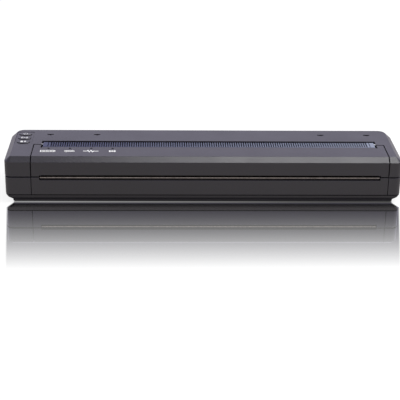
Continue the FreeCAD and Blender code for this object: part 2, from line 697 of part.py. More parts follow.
def release_cover():
    edge = EAR_EDGE - EAR_SEAM
    body = SHELL.common(box(COVER_LEFT, COVER_RIGHT, -FAR, edge, SPLIT + PART_GAP, TOP + OVER))
    body = body.cut(box(STRIP_LEFT, STRIP_RIGHT, STRIP_FRONT, FAR, SPLIT, TOP + OVER))
    cheeks = [INNER.common(box(a, b, -FAR, edge, SPLIT + CHEEK_LIFT, CEILING))
              for a, b in ((COVER_LEFT, COVER_LEFT + SIDE_WALL), (COVER_RIGHT - SIDE_WALL, COVER_RIGHT))]
    ledge = box(STRIP_LEFT, STRIP_RIGHT, STRIP_FRONT - LEDGE_MARGIN, LEDGE_REAR, LEDGE_LOW, LEDGE_TOP)
    body = merge(body, ledge, *cheeks)
    notch_front = STRIP_FRONT - NOTCH_REACH
    cuts = [box(x - NOTCH_WIDTH / 2, x + NOTCH_WIDTH / 2, notch_front, FAR, SPLIT, TOP + OVER)
            for x in (SLOT_LEFT, SLOT_RIGHT)]
    cuts.append(box(SLOT_LEFT, SLOT_RIGHT, -FAR, FRONT + WALL + OVER, SPLIT,
                    SPLIT - SLOT_DROP + SLOT_HEIGHT))
    for x in INDICATOR_XS:
        cuts.append(rod_z(INDICATOR_RADIUS + PRESS_PLAY, CEILING - OVER, TOP + OVER, x, INDICATOR_Y))
    return body.cut(cuts)


def rib_guide():
    """The ribbed strip the sheet slides over. A round block at each end turns on a hinge pin."""
    front = STRIP_FRONT + PANEL_SEAM
    rear = HINGE_Y + HINGE_DEPTH
    seat = LEDGE_REAR + PANEL_SEAM
    profile = [
        (front, LEDGE_TOP),
        (front, TOP),
        (rear - RIB_DEPTH, TOP),
        (rear, TOP - RIB_DEPTH),
        (rear, LEDGE_LOW + RIB_DEPTH),
        (rear - RIB_DEPTH, LEDGE_LOW),
        (seat, LEDGE_LOW),
        (seat, LEDGE_TOP),
    ]
    barrel = [
        (front, LEDGE_TOP),
        (front, TOP),
        (HINGE_Y, TOP),
        (rear, HINGE_Z, HINGE_Y, LEDGE_LOW),
        (seat, LEDGE_LOW),
        (seat, LEDGE_TOP),
    ]
    strip = polygon_x(profile, STRIP_LEFT + STRIP_END_BLOCK, STRIP_RIGHT - STRIP_END_BLOCK)
    blocks = [extrude_x(outline_face(barrel, x0), STRIP_END_BLOCK)
              for x0 in (STRIP_LEFT, STRIP_RIGHT - STRIP_END_BLOCK)]
    count = int((RIBS_RIGHT - RIBS_LEFT - RIB_PITCH) / RIB_PITCH)
    first = (RIBS_LEFT + RIBS_RIGHT) / 2 - (count - 1) * RIB_PITCH / 2 - RIB_GROOVE / 2
    places = [first + RIB_PITCH * i for i in range(count)]
    cuts = [box(x, x + RIB_GROOVE, front + RIB_BORDER, rear + OVER, TOP - RIB_DEPTH, TOP + OVER)
            for x in places]
    cuts += [box(x, x + STRIP_END_GAP, front - OVER, rear + OVER, TOP - SLIT_DEPTH, TOP + OVER)
             for x in (RIBS_LEFT - STRIP_END_GAP, RIBS_RIGHT)]
    cuts += [rod_x(HINGE_PIN_RADIUS + PIN_PLAY, x0, x1, HINGE_Y, HINGE_Z)
             for x0, x1 in hinge_pin_spans()]
    return merge(strip, *blocks).cut(cuts)


def paper_chute():
    """The curved sheet behind the platen, from the rear plate down to the nip."""
    rise = CEILING - CHUTE_Z
    start = 0 if rise >= 0 else math.degrees(math.asin(rise / CHUTE_RADIUS))
    curved = arc_sheet((CHUTE_Y, CHUTE_Z), CHUTE_RADIUS + CHUTE_SHEET, CHUTE_RADIUS, start,
                       -CHUTE_END_ANGLE, SLOT_LEFT, SLOT_RIGHT)
    if rise <= FIT:
        return curved
    straight = box(SLOT_LEFT, SLOT_RIGHT, PLATE_EDGE, PLATE_EDGE + CHUTE_SHEET, CHUTE_Z, CEILING)
    return merge(curved, straight)


def inner_guide():
    """The cover's half of the paper path, with a flange up to the cover's ledge."""
    outer = CHUTE_RADIUS - PAPER_GAP
    x0 = SLOT_LEFT + PLATEN_OVERHANG
    x1 = SLOT_RIGHT - PLATEN_OVERHANG
    curved = arc_sheet((CHUTE_Y, CHUTE_Z), outer, outer - GUIDE_SHEET, -GUIDE_START_ANGLE,
                       -GUIDE_END_ANGLE, x0, x1)
    top_y, top_z = on_circle((CHUTE_Y, CHUTE_Z), outer, -GUIDE_START_ANGLE)
    flange = box(x0, x1, STRIP_FRONT + GUIDE_FLANGE_INSET, top_y - GUIDE_FLANGE_REAR,
                 top_z - GUIDE_SHEET, LEDGE_LOW)
    return merge(curved, flange)


def exit_guide():
    """The lip in the slot: a shelf at the sheet's level and a leg behind the front panel."""
    top = NIP_Z - EXIT_BELOW_NIP
    shelf = box(SLOT_LEFT + PART_GAP, SLOT_RIGHT - PART_GAP, FRONT + EXIT_RECESS,
                PLATEN_Y - EXIT_TO_PLATEN, top - EXIT_SHEET, top)
    leg = box(SLOT_LEFT + PART_GAP, SLOT_RIGHT - PART_GAP, FRONT + WALL, FRONT + WALL + EXIT_SHEET,
              top - EXIT_LEG, top)
    return merge(shelf, leg)


def side_plate(x0, rear):
    z1 = PLATE_TOP
    front = FRONT + PLATE_FRONT_MARGIN
    points = [
        (front, FLOOR),
        (rear, FLOOR),
        (rear, z1 - PLATE_CORNER_REAR),
        (rear - PLATE_CORNER_REAR, z1),
        (front + PLATE_CORNER_FRONT, z1),
        (front, z1 - PLATE_CORNER_FRONT),
    ]
    return polygon_x(points, x0, x0 + CHASSIS_SHEET)


def chassis():
    """Bent steel sheet: base, two stiffening flanges and two side plates."""
    front = FRONT + PLATE_FRONT_MARGIN
    rear = FRONT + CHASSIS_REAR
    left_x = LEFT_PLATE - CHASSIS_SHEET
    right_x = RIGHT_PLATE
    base = box(left_x, right_x + CHASSIS_SHEET, front, rear, FLOOR, FLOOR + CHASSIS_SHEET)
    flanges = [box(left_x, right_x + CHASSIS_SHEET, y, y + CHASSIS_SHEET, FLOOR, FLOOR + CHASSIS_FLANGE)
               for y in (front, rear - CHASSIS_SHEET)]
    left = side_plate(left_x, MOTOR_Y + MOTOR_RADIUS)
    right = side_plate(right_x, rear)
    body = merge(base, *flanges, left, right)
    cuts = [rod_x(BUSHING_RADIUS + PRESS_PLAY, x - OVER, x + 2 * OVER, PLATEN_Y, PLATEN_Z)
            for x in (left_x, right_x)]
    ends = (left_x - OVER, left_x + 2 * OVER)
    cuts.append(rod_x(STUD_RADIUS, *ends, REDUCTION_Y, PLATEN_Z))
    cuts.append(rod_x(MOTOR_BOSS_RADIUS + FIT, *ends, MOTOR_Y, PLATEN_Z))
    return body.cut(cuts)


def bushing(x0):
    """A flanged sleeve in a side plate. The shaft turns in it."""
    x1 = x0 + CHASSIS_SHEET
    sleeve = rod_x(BUSHING_RADIUS, x0, x1, PLATEN_Y, PLATEN_Z)
    flange = rod_x(PLATEN_RADIUS, x1, x1 + BUSHING_FLANGE, PLATEN_Y, PLATEN_Z)
    bore = rod_x(SHAFT_RADIUS + TURN_PLAY, x0 - OVER, x1 + BUSHING_FLANGE + OVER, PLATEN_Y, PLATEN_Z)
    return merge(sleeve, flange).cut(bore)


def platen_shaft():
    shoulder = LEFT_PLATE - CHASSIS_SHEET - GEAR_STANDOFF / 2
    main = rod_x(SHAFT_RADIUS, shoulder, RIGHT_PLATE + CHASSIS_SHEET + SHAFT_REACH, PLATEN_Y, PLATEN_Z)
    end = rod_x(SHAFT_END_RADIUS, GEARS_X - GEAR_WIDTH, shoulder, PLATEN_Y, PLATEN_Z)
    return merge(main, end)


def platen_rubber():
    sleeve = rod_x(PLATEN_RADIUS, PLATEN_LEFT, PLATEN_RIGHT, PLATEN_Y, PLATEN_Z)
    return sleeve.cut(rod_x(SHAFT_RADIUS, PLATEN_LEFT - OVER, PLATEN_RIGHT + OVER, PLATEN_Y, PLATEN_Z))


def involute(angle):
    return math.tan(angle) - angle


def gear(teeth, x0, width, y, z, phase, bore):
    """A spur gear along X. A tooth stands at the phase angle, from +Y towards +Z, in radians."""
    pitch_r = MODULE * teeth / 2
    base_r = pitch_r * math.cos(PRESSURE_ANGLE)
    tip_r = pitch_r + MODULE * ADDENDUM
    root_r = pitch_r - MODULE * DEDENDUM
    half = math.pi / (2 * teeth) - BACKLASH / (2 * pitch_r)

    def half_angle(radius):
        rolled = math.acos(min(base_r / radius, 1.0))
        return half + involute(PRESSURE_ANGLE) - involute(rolled)

    radii = [root_r, (base_r + tip_r) / 2, tip_r]
    points = []
    for i in range(teeth):
        middle = phase + 2 * math.pi * i / teeth
        flank = [(radius, half_angle(radius)) for radius in radii]
        turns = [(radius, middle - angle) for radius, angle in flank]
        turns += [(radius, middle + angle) for radius, angle in reversed(flank)]
        points += [(y + radius * math.cos(angle), z + radius * math.sin(angle)) for radius, angle in turns]
    return polygon_x(points, x0, x0 + width).cut(rod_x(bore, x0 - OVER, x0 + width + OVER, y, z))


def platen_gear():
    return gear(PLATEN_TEETH, GEARS_X - GEAR_WIDTH, GEAR_WIDTH, PLATEN_Y, PLATEN_Z, 0.0,
                SHAFT_END_RADIUS)


def reduction_gear():
    """Two wheels on one hub. The small one meshes with the platen, the large one with the motor."""
    bore = STUD_RADIUS + TURN_PLAY
    small = gear(REDUCTION_SMALL_TEETH, GEARS_X - GEAR_WIDTH, GEAR_WIDTH, REDUCTION_Y, PLATEN_Z,
                 math.pi + math.pi / REDUCTION_SMALL_TEETH, bore)
    large = gear(REDUCTION_LARGE_TEETH, WHEEL_X - WHEEL_WIDTH, WHEEL_WIDTH, REDUCTION_Y, PLATEN_Z,
                 0.0, bore)
    hub = rod_x(SMALL_R - MODULE * DEDENDUM, WHEEL_X, GEARS_X - GEAR_WIDTH, REDUCTION_Y, PLATEN_Z)
    hub = hub.cut(rod_x(bore, WHEEL_X - OVER, GEARS_X, REDUCTION_Y, PLATEN_Z))
    return merge(small, large, hub)


def reduction_stud():
    end = WHEEL_X - WHEEL_WIDTH - STUD_END_PLAY
    stud = rod_x(STUD_RADIUS, end, LEFT_PLATE, REDUCTION_Y, PLATEN_Z)
    head = rod_x(STUD_HEAD_RADIUS, end - STUD_HEAD_THICKNESS, end, REDUCTION_Y, PLATEN_Z)
    return merge(stud, head)


def motor():
    """A can motor on the left side plate, its boss in the plate's hole."""
    x0 = LEFT_PLATE
    can = rod_x(MOTOR_RADIUS, x0, x0 + MOTOR_LENGTH, MOTOR_Y, PLATEN_Z)
    boss = rod_x(MOTOR_BOSS_RADIUS, x0 - CHASSIS_SHEET, x0, MOTOR_Y, PLATEN_Z)
    bore = rod_x(MOTOR_SHAFT_RADIUS + TURN_PLAY, x0 - CHASSIS_SHEET - OVER,
                 x0 + MOTOR_LENGTH - MOTOR_BORE_END, MOTOR_Y, PLATEN_Z)
    return merge(can, boss).cut(bore)


def motor_pinion():
    """The motor's shaft with its pinion."""
    wheel = gear(MOTOR_TEETH, WHEEL_X - WHEEL_WIDTH, WHEEL_WIDTH, MOTOR_Y, PLATEN_Z,
                 math.pi + math.pi / MOTOR_TEETH, MOTOR_SHAFT_RADIUS / 2)
    shaft = rod_x(MOTOR_SHAFT_RADIUS, WHEEL_X - WHEEL_WIDTH, LEFT_PLATE + MOTOR_LENGTH - MOTOR_SHAFT_END,
                  MOTOR_Y, PLATEN_Z)
    return merge(wheel, shaft)


def head_span():
    half = PAPER_WIDTH / 2 + HEAD_OVERHANG
    return PAPER_MIDDLE - half, PAPER_MIDDLE + half


def thermal_head():
    """The ceramic strip with its heating line over the platen."""
    x0, x1 = head_span()
    z0 = NIP_Z + NIP_GAP
    return box(x0, x1, PLATEN_Y - SUBSTRATE_FORE, PLATEN_Y + SUBSTRATE_AFT, z0,
               z0 + SUBSTRATE_THICKNESS)


def heat_sink():
    """An extruded bar with cooling grooves on top and a pivot pin at each end."""
    x0, x1 = head_span()
    z0 = NIP_Z + NIP_GAP + SUBSTRATE_THICKNESS
    y0 = PLATEN_Y - SINK_FORE
    bar = box(x0, x1, y0, PLATEN_Y + SINK_AFT, z0, z0 + SINK_HEIGHT)
    pitch = (SINK_FORE + SINK_AFT) / (SINK_FIN_COUNT + 1)
    grooves = [box(x0 - OVER, x1 + OVER, y0 + pitch * (i + 1) - SINK_FIN_GAP / 2,
                   y0 + pitch * (i + 1) + SINK_FIN_GAP / 2, z0 + SINK_HEIGHT - SINK_FIN_DEPTH, TOP)
               for i in range(SINK_FIN_COUNT)]
    y, z = head_pivot()
    reach = FRAME_SHEET + 2 * PART_GAP
    pins = [rod_x(HEAD_PIVOT_RADIUS, a, b, y, z)
            for a, b in ((x0 - reach, x0 + HEAD_PIVOT_ROOT), (x1 - HEAD_PIVOT_ROOT, x1 + reach))]
    return merge(bar.cut(grooves), *pins)


def head_pivot():
    return PLATEN_Y + HEAD_PIVOT_AFT, NIP_Z + HEAD_PIVOT_UP


def head_frame():
    """The cover's stiffener: a steel web under the cover's top and a tab for each head pivot."""
    x0, x1 = head_span()
    plates = (x0 - PART_GAP - FRAME_SHEET, x1 + PART_GAP)
    front = PLATEN_Y - FRAME_FORE
    y, z = head_pivot()
    low = z - FRAME_TAB_BELOW
    web = box(plates[0], plates[1] + FRAME_SHEET, front, front + FRAME_WEB, CEILING - FRAME_SHEET,
              CEILING)
    tab_front = front + FRAME_TAB_INSET
    tabs = [box(x, x + FRAME_SHEET, tab_front, tab_front + FRAME_TAB_WIDTH, low, LEDGE_LOW)
            for x in plates]
    necks = [box(x, x + FRAME_SHEET, tab_front, front + FRAME_WEB, LEDGE_LOW, CEILING)
             for x in plates]
    holes = [rod_x(HEAD_PIVOT_RADIUS + PIN_PLAY, x, x + FRAME_SHEET, y, z) for x in plates]
    return merge(web, *tabs, *necks).cut(holes)


def head_springs():
    """Arched leaf springs between the frame's web and the heat sink."""
    low = NIP_Z + NIP_GAP + SUBSTRATE_THICKNESS + SINK_HEIGHT
    high = CEILING - FRAME_SHEET
    y0 = PLATEN_Y - SINK_FORE + SPRING_INSET
    springs = []
    for i in range(SPRING_COUNT):
        x = PAPER_MIDDLE + SPRING_PITCH * (i - (SPRING_COUNT - 1) / 2)
        half = SPRING_SPAN / 2
        lower = Part.Arc(FreeCAD.Vector(x - half, y0, high - SPRING_SHEET), FreeCAD.Vector(x, y0, low),
                         FreeCAD.Vector(x + half, y0, high - SPRING_SHEET)).toShape()
        upper = Part.Arc(FreeCAD.Vector(x + half, y0, high),
                         FreeCAD.Vector(x, y0, low + SPRING_SHEET),
                         FreeCAD.Vector(x - half, y0, high)).toShape()
        ends = [Part.makeLine(lower.Vertexes[1].Point, upper.Vertexes[0].Point),
                Part.makeLine(upper.Vertexes[1].Point, lower.Vertexes[0].Point)]
        face = Part.Face(Part.Wire([lower, ends[0], upper, ends[1]]))
        springs.append(face.extrude(FreeCAD.Vector(0, SPRING_WIDTH, 0)))
    return Part.makeCompound(springs)


def button_bezel():
    plate = bezel_solid(0, TOP - BEZEL_DEPTH, TOP - BEZEL_DEPTH + BEZEL_THICKNESS)
    holes = [oval(BUTTON_X, y, BUTTON_LONG + PART_GAP, BUTTON_SHORT + PART_GAP, CEILING, TOP + OVER)
             for y in BUTTON_YS]
    return plate.cut(holes)


def button(y):
    """An oval cap with a retaining flange under the case and a stem down into its switch."""
    top = TOP + BUTTON_PROUD
    flange_top = CEILING - PIN_PLAY
    flange_low = flange_top - BUTTON_FLANGE_THICKNESS
    cap = oval(BUTTON_X, y, BUTTON_LONG, BUTTON_SHORT, flange_low, top)
    rim = [edge for edge in cap.Edges if abs(edge.CenterOfMass.z - top) < PIN_PLAY]
    cap = cap.makeChamfer(BUTTON_EDGE, rim)
    flange = oval(BUTTON_X, y, BUTTON_LONG + BUTTON_FLANGE, BUTTON_SHORT + BUTTON_FLANGE,
                  flange_low, flange_top)
    stem_low = SWITCH_TOP - SWITCH_BORE_DEPTH + BUTTON_TRAVEL + 2 * FIT
    half = BUTTON_STEM / 2
    stem = box(BUTTON_X - half, BUTTON_X + half, y - half, y + half, stem_low, flange_low)
    return merge(cap, flange, stem)


def tact_switches():
    low = BOARD_Z + BOARD_THICKNESS
    high = SWITCH_TOP - BUTTON_TRAVEL - FIT
    side = SWITCH_SIDE / 2
    bore = BUTTON_STEM / 2 + FIT
    switches = []
    for y in BUTTON_YS:
        body = box(BUTTON_X - side, BUTTON_X + side, y - side, y + side, low, high)
        hole = box(BUTTON_X - bore, BUTTON_X + bore, y - bore, y + bore,
                   SWITCH_TOP - SWITCH_BORE_DEPTH, high + OVER)
        switches.append(body.cut(hole))
    return Part.makeCompound(switches)


def main_board():
    """The circuit board under the rear plate, with a wing below the buttons and its chips."""
    z0 = BOARD_Z
    z1 = BOARD_Z + BOARD_THICKNESS
    left = LEFT + WALL + BOARD_LEFT_GAP
    front = PLATE_EDGE + CHUTE_SHEET + BOARD_EDGE_GAP
    rear = REAR - WALL - BOARD_EDGE_GAP
    wing_front = BUTTON_YS[-1] - SWITCH_SIDE / 2 - WING_MARGIN
    plate = box(left, RIGHT - BOARD_RIGHT_INSET, front, rear, z0, z1)
    wing = box(left, SEAM_LEFT + WING_UNDER_COVER, wing_front, rear, z0, z1)
    x, y = POSTS[1]
    room = POST_RADIUS + BOARD_EDGE_GAP
    corner = box(LEFT, x + room, y - room, REAR, z0, z1)
    chips = [box(PAPER_MIDDLE + offset, PAPER_MIDDLE + offset + size, front + CHIP_FROM_EDGE,
                 front + CHIP_FROM_EDGE + size, z1, z1 + CHIP_HEIGHT) for offset, size in CHIPS]
    return merge(merge(plate, wing).cut(corner), *chips)


def power_inlet():
    """A barrel jack: a block on the board's underside, a round nose and a centre pin."""
    y, z = jack_place()
    x0 = LEFT + WALL
    body = box(x0, x0 + JACK_LENGTH, y - JACK_WIDTH / 2, y + JACK_WIDTH / 2, z - JACK_HEIGHT / 2,
               z + JACK_HEIGHT / 2)
    nose = rod_x(JACK_NOSE_RADIUS, LEFT + JACK_SUNK, x0, y, z)
    bore = rod_x(JACK_BORE_RADIUS, LEFT - OVER, x0 + JACK_LENGTH - JACK_BACK, y, z)
    pin = rod_x(JACK_PIN_RADIUS, x0 + JACK_PIN_INSET, x0 + JACK_LENGTH - JACK_PIN_INSET, y, z)
    return merge(merge(body, nose).cut(bore), pin)


def data_port():
    y, z = data_place()
    x0 = LEFT + DATA_SUNK
    outer = box(x0, x0 + DATA_LENGTH, y - DATA_WIDTH / 2, y + DATA_WIDTH / 2, z - DATA_HEIGHT / 2,
                z + DATA_HEIGHT / 2)
    inner = box(x0 - OVER, x0 + DATA_LENGTH - DATA_BACK, y - DATA_WIDTH / 2 + DATA_SHELL,
                y + DATA_WIDTH / 2 - DATA_SHELL, z - DATA_HEIGHT / 2 + DATA_SHELL,
                z + DATA_HEIGHT / 2 - DATA_SHELL)
    tongue = box(x0 + DATA_BACK, x0 + DATA_LENGTH - DATA_TONGUE_INSET, y - DATA_WIDTH / 4, y + DATA_WIDTH / 4,
                 z - DATA_TONGUE / 2, z + DATA_TONGUE / 2)
    return merge(outer.cut(inner), tongue)


def battery_pack():
    """Three round cells in a shrink sleeve, one long bar with large corner radii."""
    z0 = FLOOR + PACK_LIFT
    bar = box(PACK_LEFT, PACK_RIGHT, PACK_FRONT, PACK_REAR, z0, z0 + PACK_SECTION)
    return bar.makeFillet(PACK_CORNER, long_edges(bar))


def battery_contacts():
    """An insulating block with spring blades against the pack's left end."""
    pack_side = PACK_LEFT - PART_GAP
    x0 = PACK_LEFT - CONTACT_BLOCK
    high = FLOOR + PACK_LIFT + PACK_SECTION - CONTACT_INSET
    y0 = PACK_FRONT + CONTACT_INSET
    y1 = PACK_REAR - CONTACT_INSET
    block = box(x0, x0 + CONTACT_BLOCK_THICKNESS, y0, y1, FLOOR, high)
    pitch = (y1 - y0) / CONTACT_COUNT
    middles = [y0 + pitch * (i + 0.5) for i in range(CONTACT_COUNT)]
    blades = [box(x0, pack_side, y - BLADE_WIDTH / 2, y + BLADE_WIDTH / 2, FLOOR + BLADE_LOW,
                  high - BLADE_HIGH) for y in middles]
    return merge(block, *blades)


def paper_sensor():
    length, depth, height = SENSOR_SIZE
    y0 = CHUTE_Y + SENSOR_FROM_CHUTE
    reach = CHUTE_RADIUS + CHUTE_SHEET
    z1 = CHUTE_Z - math.sqrt(reach ** 2 - (y0 - CHUTE_Y) ** 2)
    return box(PAPER_MIDDLE, PAPER_MIDDLE + length, y0, y0 + depth, z1 - height, z1)


def motor_cable():
    """A flat cable from the motor's end up to the main board."""
    x0 = LEFT_PLATE + MOTOR_LENGTH
    low = PLATEN_Z + CABLE_UP
    high = low + CABLE_BEND
    outside = x0 + CABLE_BEND
    inside = outside - CABLE_SHEET
    centre = (x0, high)
    outer_middle = on_circle(centre, CABLE_BEND, -45)
    inner_middle = on_circle(centre, CABLE_BEND - CABLE_SHEET, -45)
    route = [(x0, low), outer_middle, (outside, high), (outside, BOARD_Z), (inside, BOARD_Z),
             (inside, high), inner_middle, (x0, low + CABLE_SHEET)]
    a, bend, b, c, d, e, inner_bend, f = [FreeCAD.Vector(x, MOTOR_Y - CABLE_WIDTH / 2, z)
                                          for x, z in route]
    edges = [
        Part.Arc(a, bend, b).toShape(),
        Part.makeLine(b, c),
        Part.makeLine(c, d),
        Part.makeLine(d, e),
        Part.Arc(e, inner_bend, f).toShape(),
        Part.makeLine(f, a),
    ]
    return Part.Face(Part.Wire(edges)).extrude(FreeCAD.Vector(0, CABLE_WIDTH, 0))


def indicator(x):
    return rod_z(INDICATOR_RADIUS, CEILING - INDICATOR_BELOW, TOP, x, INDICATOR_Y)


def indicator_board():
    """A narrow board under the cover's top with a lamp below each window."""
    z1 = CEILING - INDICATOR_BELOW - LED_HEIGHT
    x0 = INDICATOR_XS[0] - LED_BOARD_LEFT
    x1 = INDICATOR_XS[-1] + LED_BOARD_RIGHT
    board = box(x0, x1, INDICATOR_Y - LED_BOARD_FORE, INDICATOR_Y + LED_BOARD_AFT,
                z1 - LED_BOARD_THICKNESS, z1)
    lamps = [box(x - LED_LENGTH / 2, x + LED_LENGTH / 2, INDICATOR_Y - LED_WIDTH / 2,
                 INDICATOR_Y + LED_WIDTH / 2, z1, z1 + LED_HEIGHT) for x in INDICATOR_XS]
    return merge(board, *lamps)


def rubber_feet():
    return Part.makeCompound([rod_z(FOOT_RADIUS, 0, BASE, x, y) for x, y in FEET])


def case_screws():
    screws = []
    for x, y in POSTS:
        top = BASE + SCREW_SINK
        head = rod_z(SCREW_HEAD_RADIUS, top - SCREW_HEAD_HEIGHT, top, x, y)
        shank = rod_z(SCREW_SHANK_RADIUS, top, top + SCREW_LENGTH, x, y)
        screws.append(merge(head, shank))
    return Part.makeCompound(screws)


PIECES = {
    "lower_case": lower_case,
    "upper_case": upper_case,
    "front_panel": front_panel,
    "exit_guide": exit_guide,
    "paper_chute": paper_chute,
    "paper_sensor": paper_sensor,
    "battery_door": battery_door,
    "battery_pack": battery_pack,
    "battery_contacts": battery_contacts,
    "chassis": chassis,
    "left_bushing": lambda: bushing(LEFT_PLATE - CHASSIS_SHEET),
    "right_bushing": lambda: bushing(RIGHT_PLATE),
    "platen_shaft": platen_shaft,
    "platen_rubber": platen_rubber,
    "platen_gear": platen_gear,
    "reduction_gear": reduction_gear,
    "reduction_stud": reduction_stud,
    "motor": motor,
    "motor_pinion": motor_pinion,
    "motor_cable": motor_cable,
    "main_board": main_board,
    "tact_switches": tact_switches,
    "power_inlet": power_inlet,
    "data_port": data_port,
    "button_bezel": button_bezel,
    "power_button": lambda: button(BUTTON_YS[0]),
    "link_button": lambda: button(BUTTON_YS[1]),
    "feed_button": lambda: button(BUTTON_YS[2]),
    "left_hinge_pin": lambda: hinge_pin(0),
    "right_hinge_pin": lambda: hinge_pin(1),
    "release_cover": release_cover,
    "rib_guide": rib_guide,
    "inner_guide": inner_guide,
    "head_frame": head_frame,
    "head_springs": head_springs,
    "indicator_board": indicator_board,
    "heat_sink": heat_sink,
    "thermal_head": thermal_head,
    "rubber_feet": rubber_feet,
    "case_screws": case_screws,
}
for index, label in enumerate(INDICATORS):
    PIECES[label + "_indicator"] = lambda place=index: indicator(INDICATOR_XS[place])

os.makedirs("parts", exist_ok=True)
for name, make in PIECES.items():
    shape = make()
    print(name, len(shape.Solids), round(shape.Volume, 1), shape.isValid())
    shape.exportStep("parts/" + name + ".step")
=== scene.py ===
import json
from math import atan2, cos, degrees, pi, radians, sin

import bmesh
import bpy
from mathutils import Matrix, Vector

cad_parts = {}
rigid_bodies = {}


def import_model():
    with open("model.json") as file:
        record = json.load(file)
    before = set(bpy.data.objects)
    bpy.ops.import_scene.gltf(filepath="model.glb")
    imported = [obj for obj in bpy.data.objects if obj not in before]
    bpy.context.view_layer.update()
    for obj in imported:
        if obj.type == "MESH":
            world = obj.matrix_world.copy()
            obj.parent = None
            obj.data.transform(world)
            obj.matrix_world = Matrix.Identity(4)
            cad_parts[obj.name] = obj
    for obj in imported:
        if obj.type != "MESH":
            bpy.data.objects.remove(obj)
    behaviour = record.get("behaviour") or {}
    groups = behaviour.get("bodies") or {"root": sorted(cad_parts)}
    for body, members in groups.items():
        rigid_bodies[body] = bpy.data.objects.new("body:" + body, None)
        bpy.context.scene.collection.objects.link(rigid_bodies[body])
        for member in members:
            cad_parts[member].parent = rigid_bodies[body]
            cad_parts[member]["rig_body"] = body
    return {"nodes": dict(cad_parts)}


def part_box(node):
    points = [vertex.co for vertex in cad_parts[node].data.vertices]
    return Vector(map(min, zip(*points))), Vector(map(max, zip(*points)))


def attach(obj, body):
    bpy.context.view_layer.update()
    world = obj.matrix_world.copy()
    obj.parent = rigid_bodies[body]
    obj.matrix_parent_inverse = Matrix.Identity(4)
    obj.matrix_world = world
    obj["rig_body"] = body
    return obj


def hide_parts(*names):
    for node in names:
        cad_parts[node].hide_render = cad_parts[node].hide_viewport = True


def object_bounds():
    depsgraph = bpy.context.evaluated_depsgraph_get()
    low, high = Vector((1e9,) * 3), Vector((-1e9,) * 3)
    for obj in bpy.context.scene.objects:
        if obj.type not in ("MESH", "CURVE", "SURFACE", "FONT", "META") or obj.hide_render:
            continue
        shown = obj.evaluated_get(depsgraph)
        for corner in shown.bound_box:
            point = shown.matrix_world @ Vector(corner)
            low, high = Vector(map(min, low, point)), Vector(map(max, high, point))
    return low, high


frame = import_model()
cad_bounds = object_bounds()

# Table, room and camera. The printer stands on a white lacquered table in a white room. The table
# mirrors the case near its foot and loses the reflection further out. One large softbox hangs
# overhead, from the middle of the printer to far beyond its right end.


def srgb(text):
    """Linear RGBA from an sRGB hex value."""
    levels = [int(text[i:i + 2], 16) / 255 for i in (0, 2, 4)]
    linear = [v / 12.92 if v <= 0.04045 else ((v + 0.055) / 1.055) ** 2.4 for v in levels]
    return (*linear, 1.0)


def add(tree, kind, inputs=(), **settings):
    """Add one shader node. Inputs are named, or stand in the order of the sockets in use. An input is a
    value, an output socket, or a node whose first output in use is linked."""
    made = tree.nodes.new("ShaderNode" + kind)
    for name, value in settings.items():
        setattr(made, name, value)
    if isinstance(inputs, dict):
        pairs = [(made.inputs[name], value) for name, value in inputs.items()]
    else:
        pairs = zip([socket for socket in made.inputs if socket.enabled], inputs)
    for socket, value in pairs:
        if isinstance(value, bpy.types.Node):
            value = next(output for output in value.outputs if output.enabled)
        if isinstance(value, bpy.types.NodeSocket):
            tree.links.new(value, socket)
        else:
            socket.default_value = value
    return made


def new_material(name):
    """An empty material, its node tree, and the socket with the coordinates of the piece."""
    material = bpy.data.materials.new(name)
    material.use_nodes = True
    material.node_tree.nodes.clear()
    return material, material.node_tree, add(material.node_tree, "TexCoord").outputs["Object"]


def new_object(name, vertices, faces, material, body=None, slot=None):
    """A mesh made by code. It rides on a body, unless it belongs to the room. The slot argument is not used.
    """
    mesh = bpy.data.meshes.new(name)
    mesh.from_pydata(vertices, [], faces)
    mesh.update()
    mesh.materials.append(material)
    made = bpy.data.objects.new(name, mesh)
    scene.collection.objects.link(made)
    if body:
        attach(made, body)
    return made


scene = bpy.context.scene
scene.view_settings.view_transform = "Standard"

camera_pitch = 0.402778
camera_yaw = 0.035123
camera_roll = 0.015034
forward = Vector((sin(camera_yaw) * cos(camera_pitch),
                  cos(camera_yaw) * cos(camera_pitch), -sin(camera_pitch)))
level_right = Vector((cos(camera_yaw), -sin(camera_yaw), 0))
level_up = level_right.cross(forward)
right = level_right * cos(camera_roll) + level_up * sin(camera_roll)
up = level_up * cos(camera_roll) - level_right * sin(camera_roll)
camera_data = bpy.data.cameras.new("camera")
camera_data.lens = 106.866
camera_data.sensor_width = 36.0
camera = bpy.data.objects.new("camera", camera_data)
camera.matrix_world = Matrix.Translation((-0.027232, -0.732763, 0.302725)) @ Matrix(
    (right, up, -forward)).transposed().to_4x4()
scene.collection.objects.link(camera)
scene.camera = camera

# The room is white to the camera, and a glossy surface sees it dim a little towards the ceiling. The
# sharp mirror of the table looks past the case at a dark screen.
world = bpy.data.worlds.new("white_room")
world.use_nodes = True
scene.world = world
room = world.node_tree
room.nodes.clear()
ray = add(room, "LightPath").outputs
height = add(room, "SeparateXYZ", [add(room, "TexCoord").outputs["Generated"]])
mirrored = add(room, "MapRange", [height.outputs["Z"], 0.3, 0.9, 1.2, 0.53])
shiny = add(room, "Math", [ray["Is Glossy Ray"], ray["Is Transmission Ray"]], operation="MAXIMUM")
level = add(room, "Mix", [shiny, 0.58, mirrored])
level = add(room, "Mix", [ray["Is Singular Ray"], level, 0.12])
level = add(room, "Mix", [ray["Is Camera Ray"], level, 1.0])
tint = add(room, "Mix", [shiny, srgb("ffffff"), srgb("ebe7ff")], data_type="RGBA")
add(room, "OutputWorld", [add(room, "Background", [tint, level])])

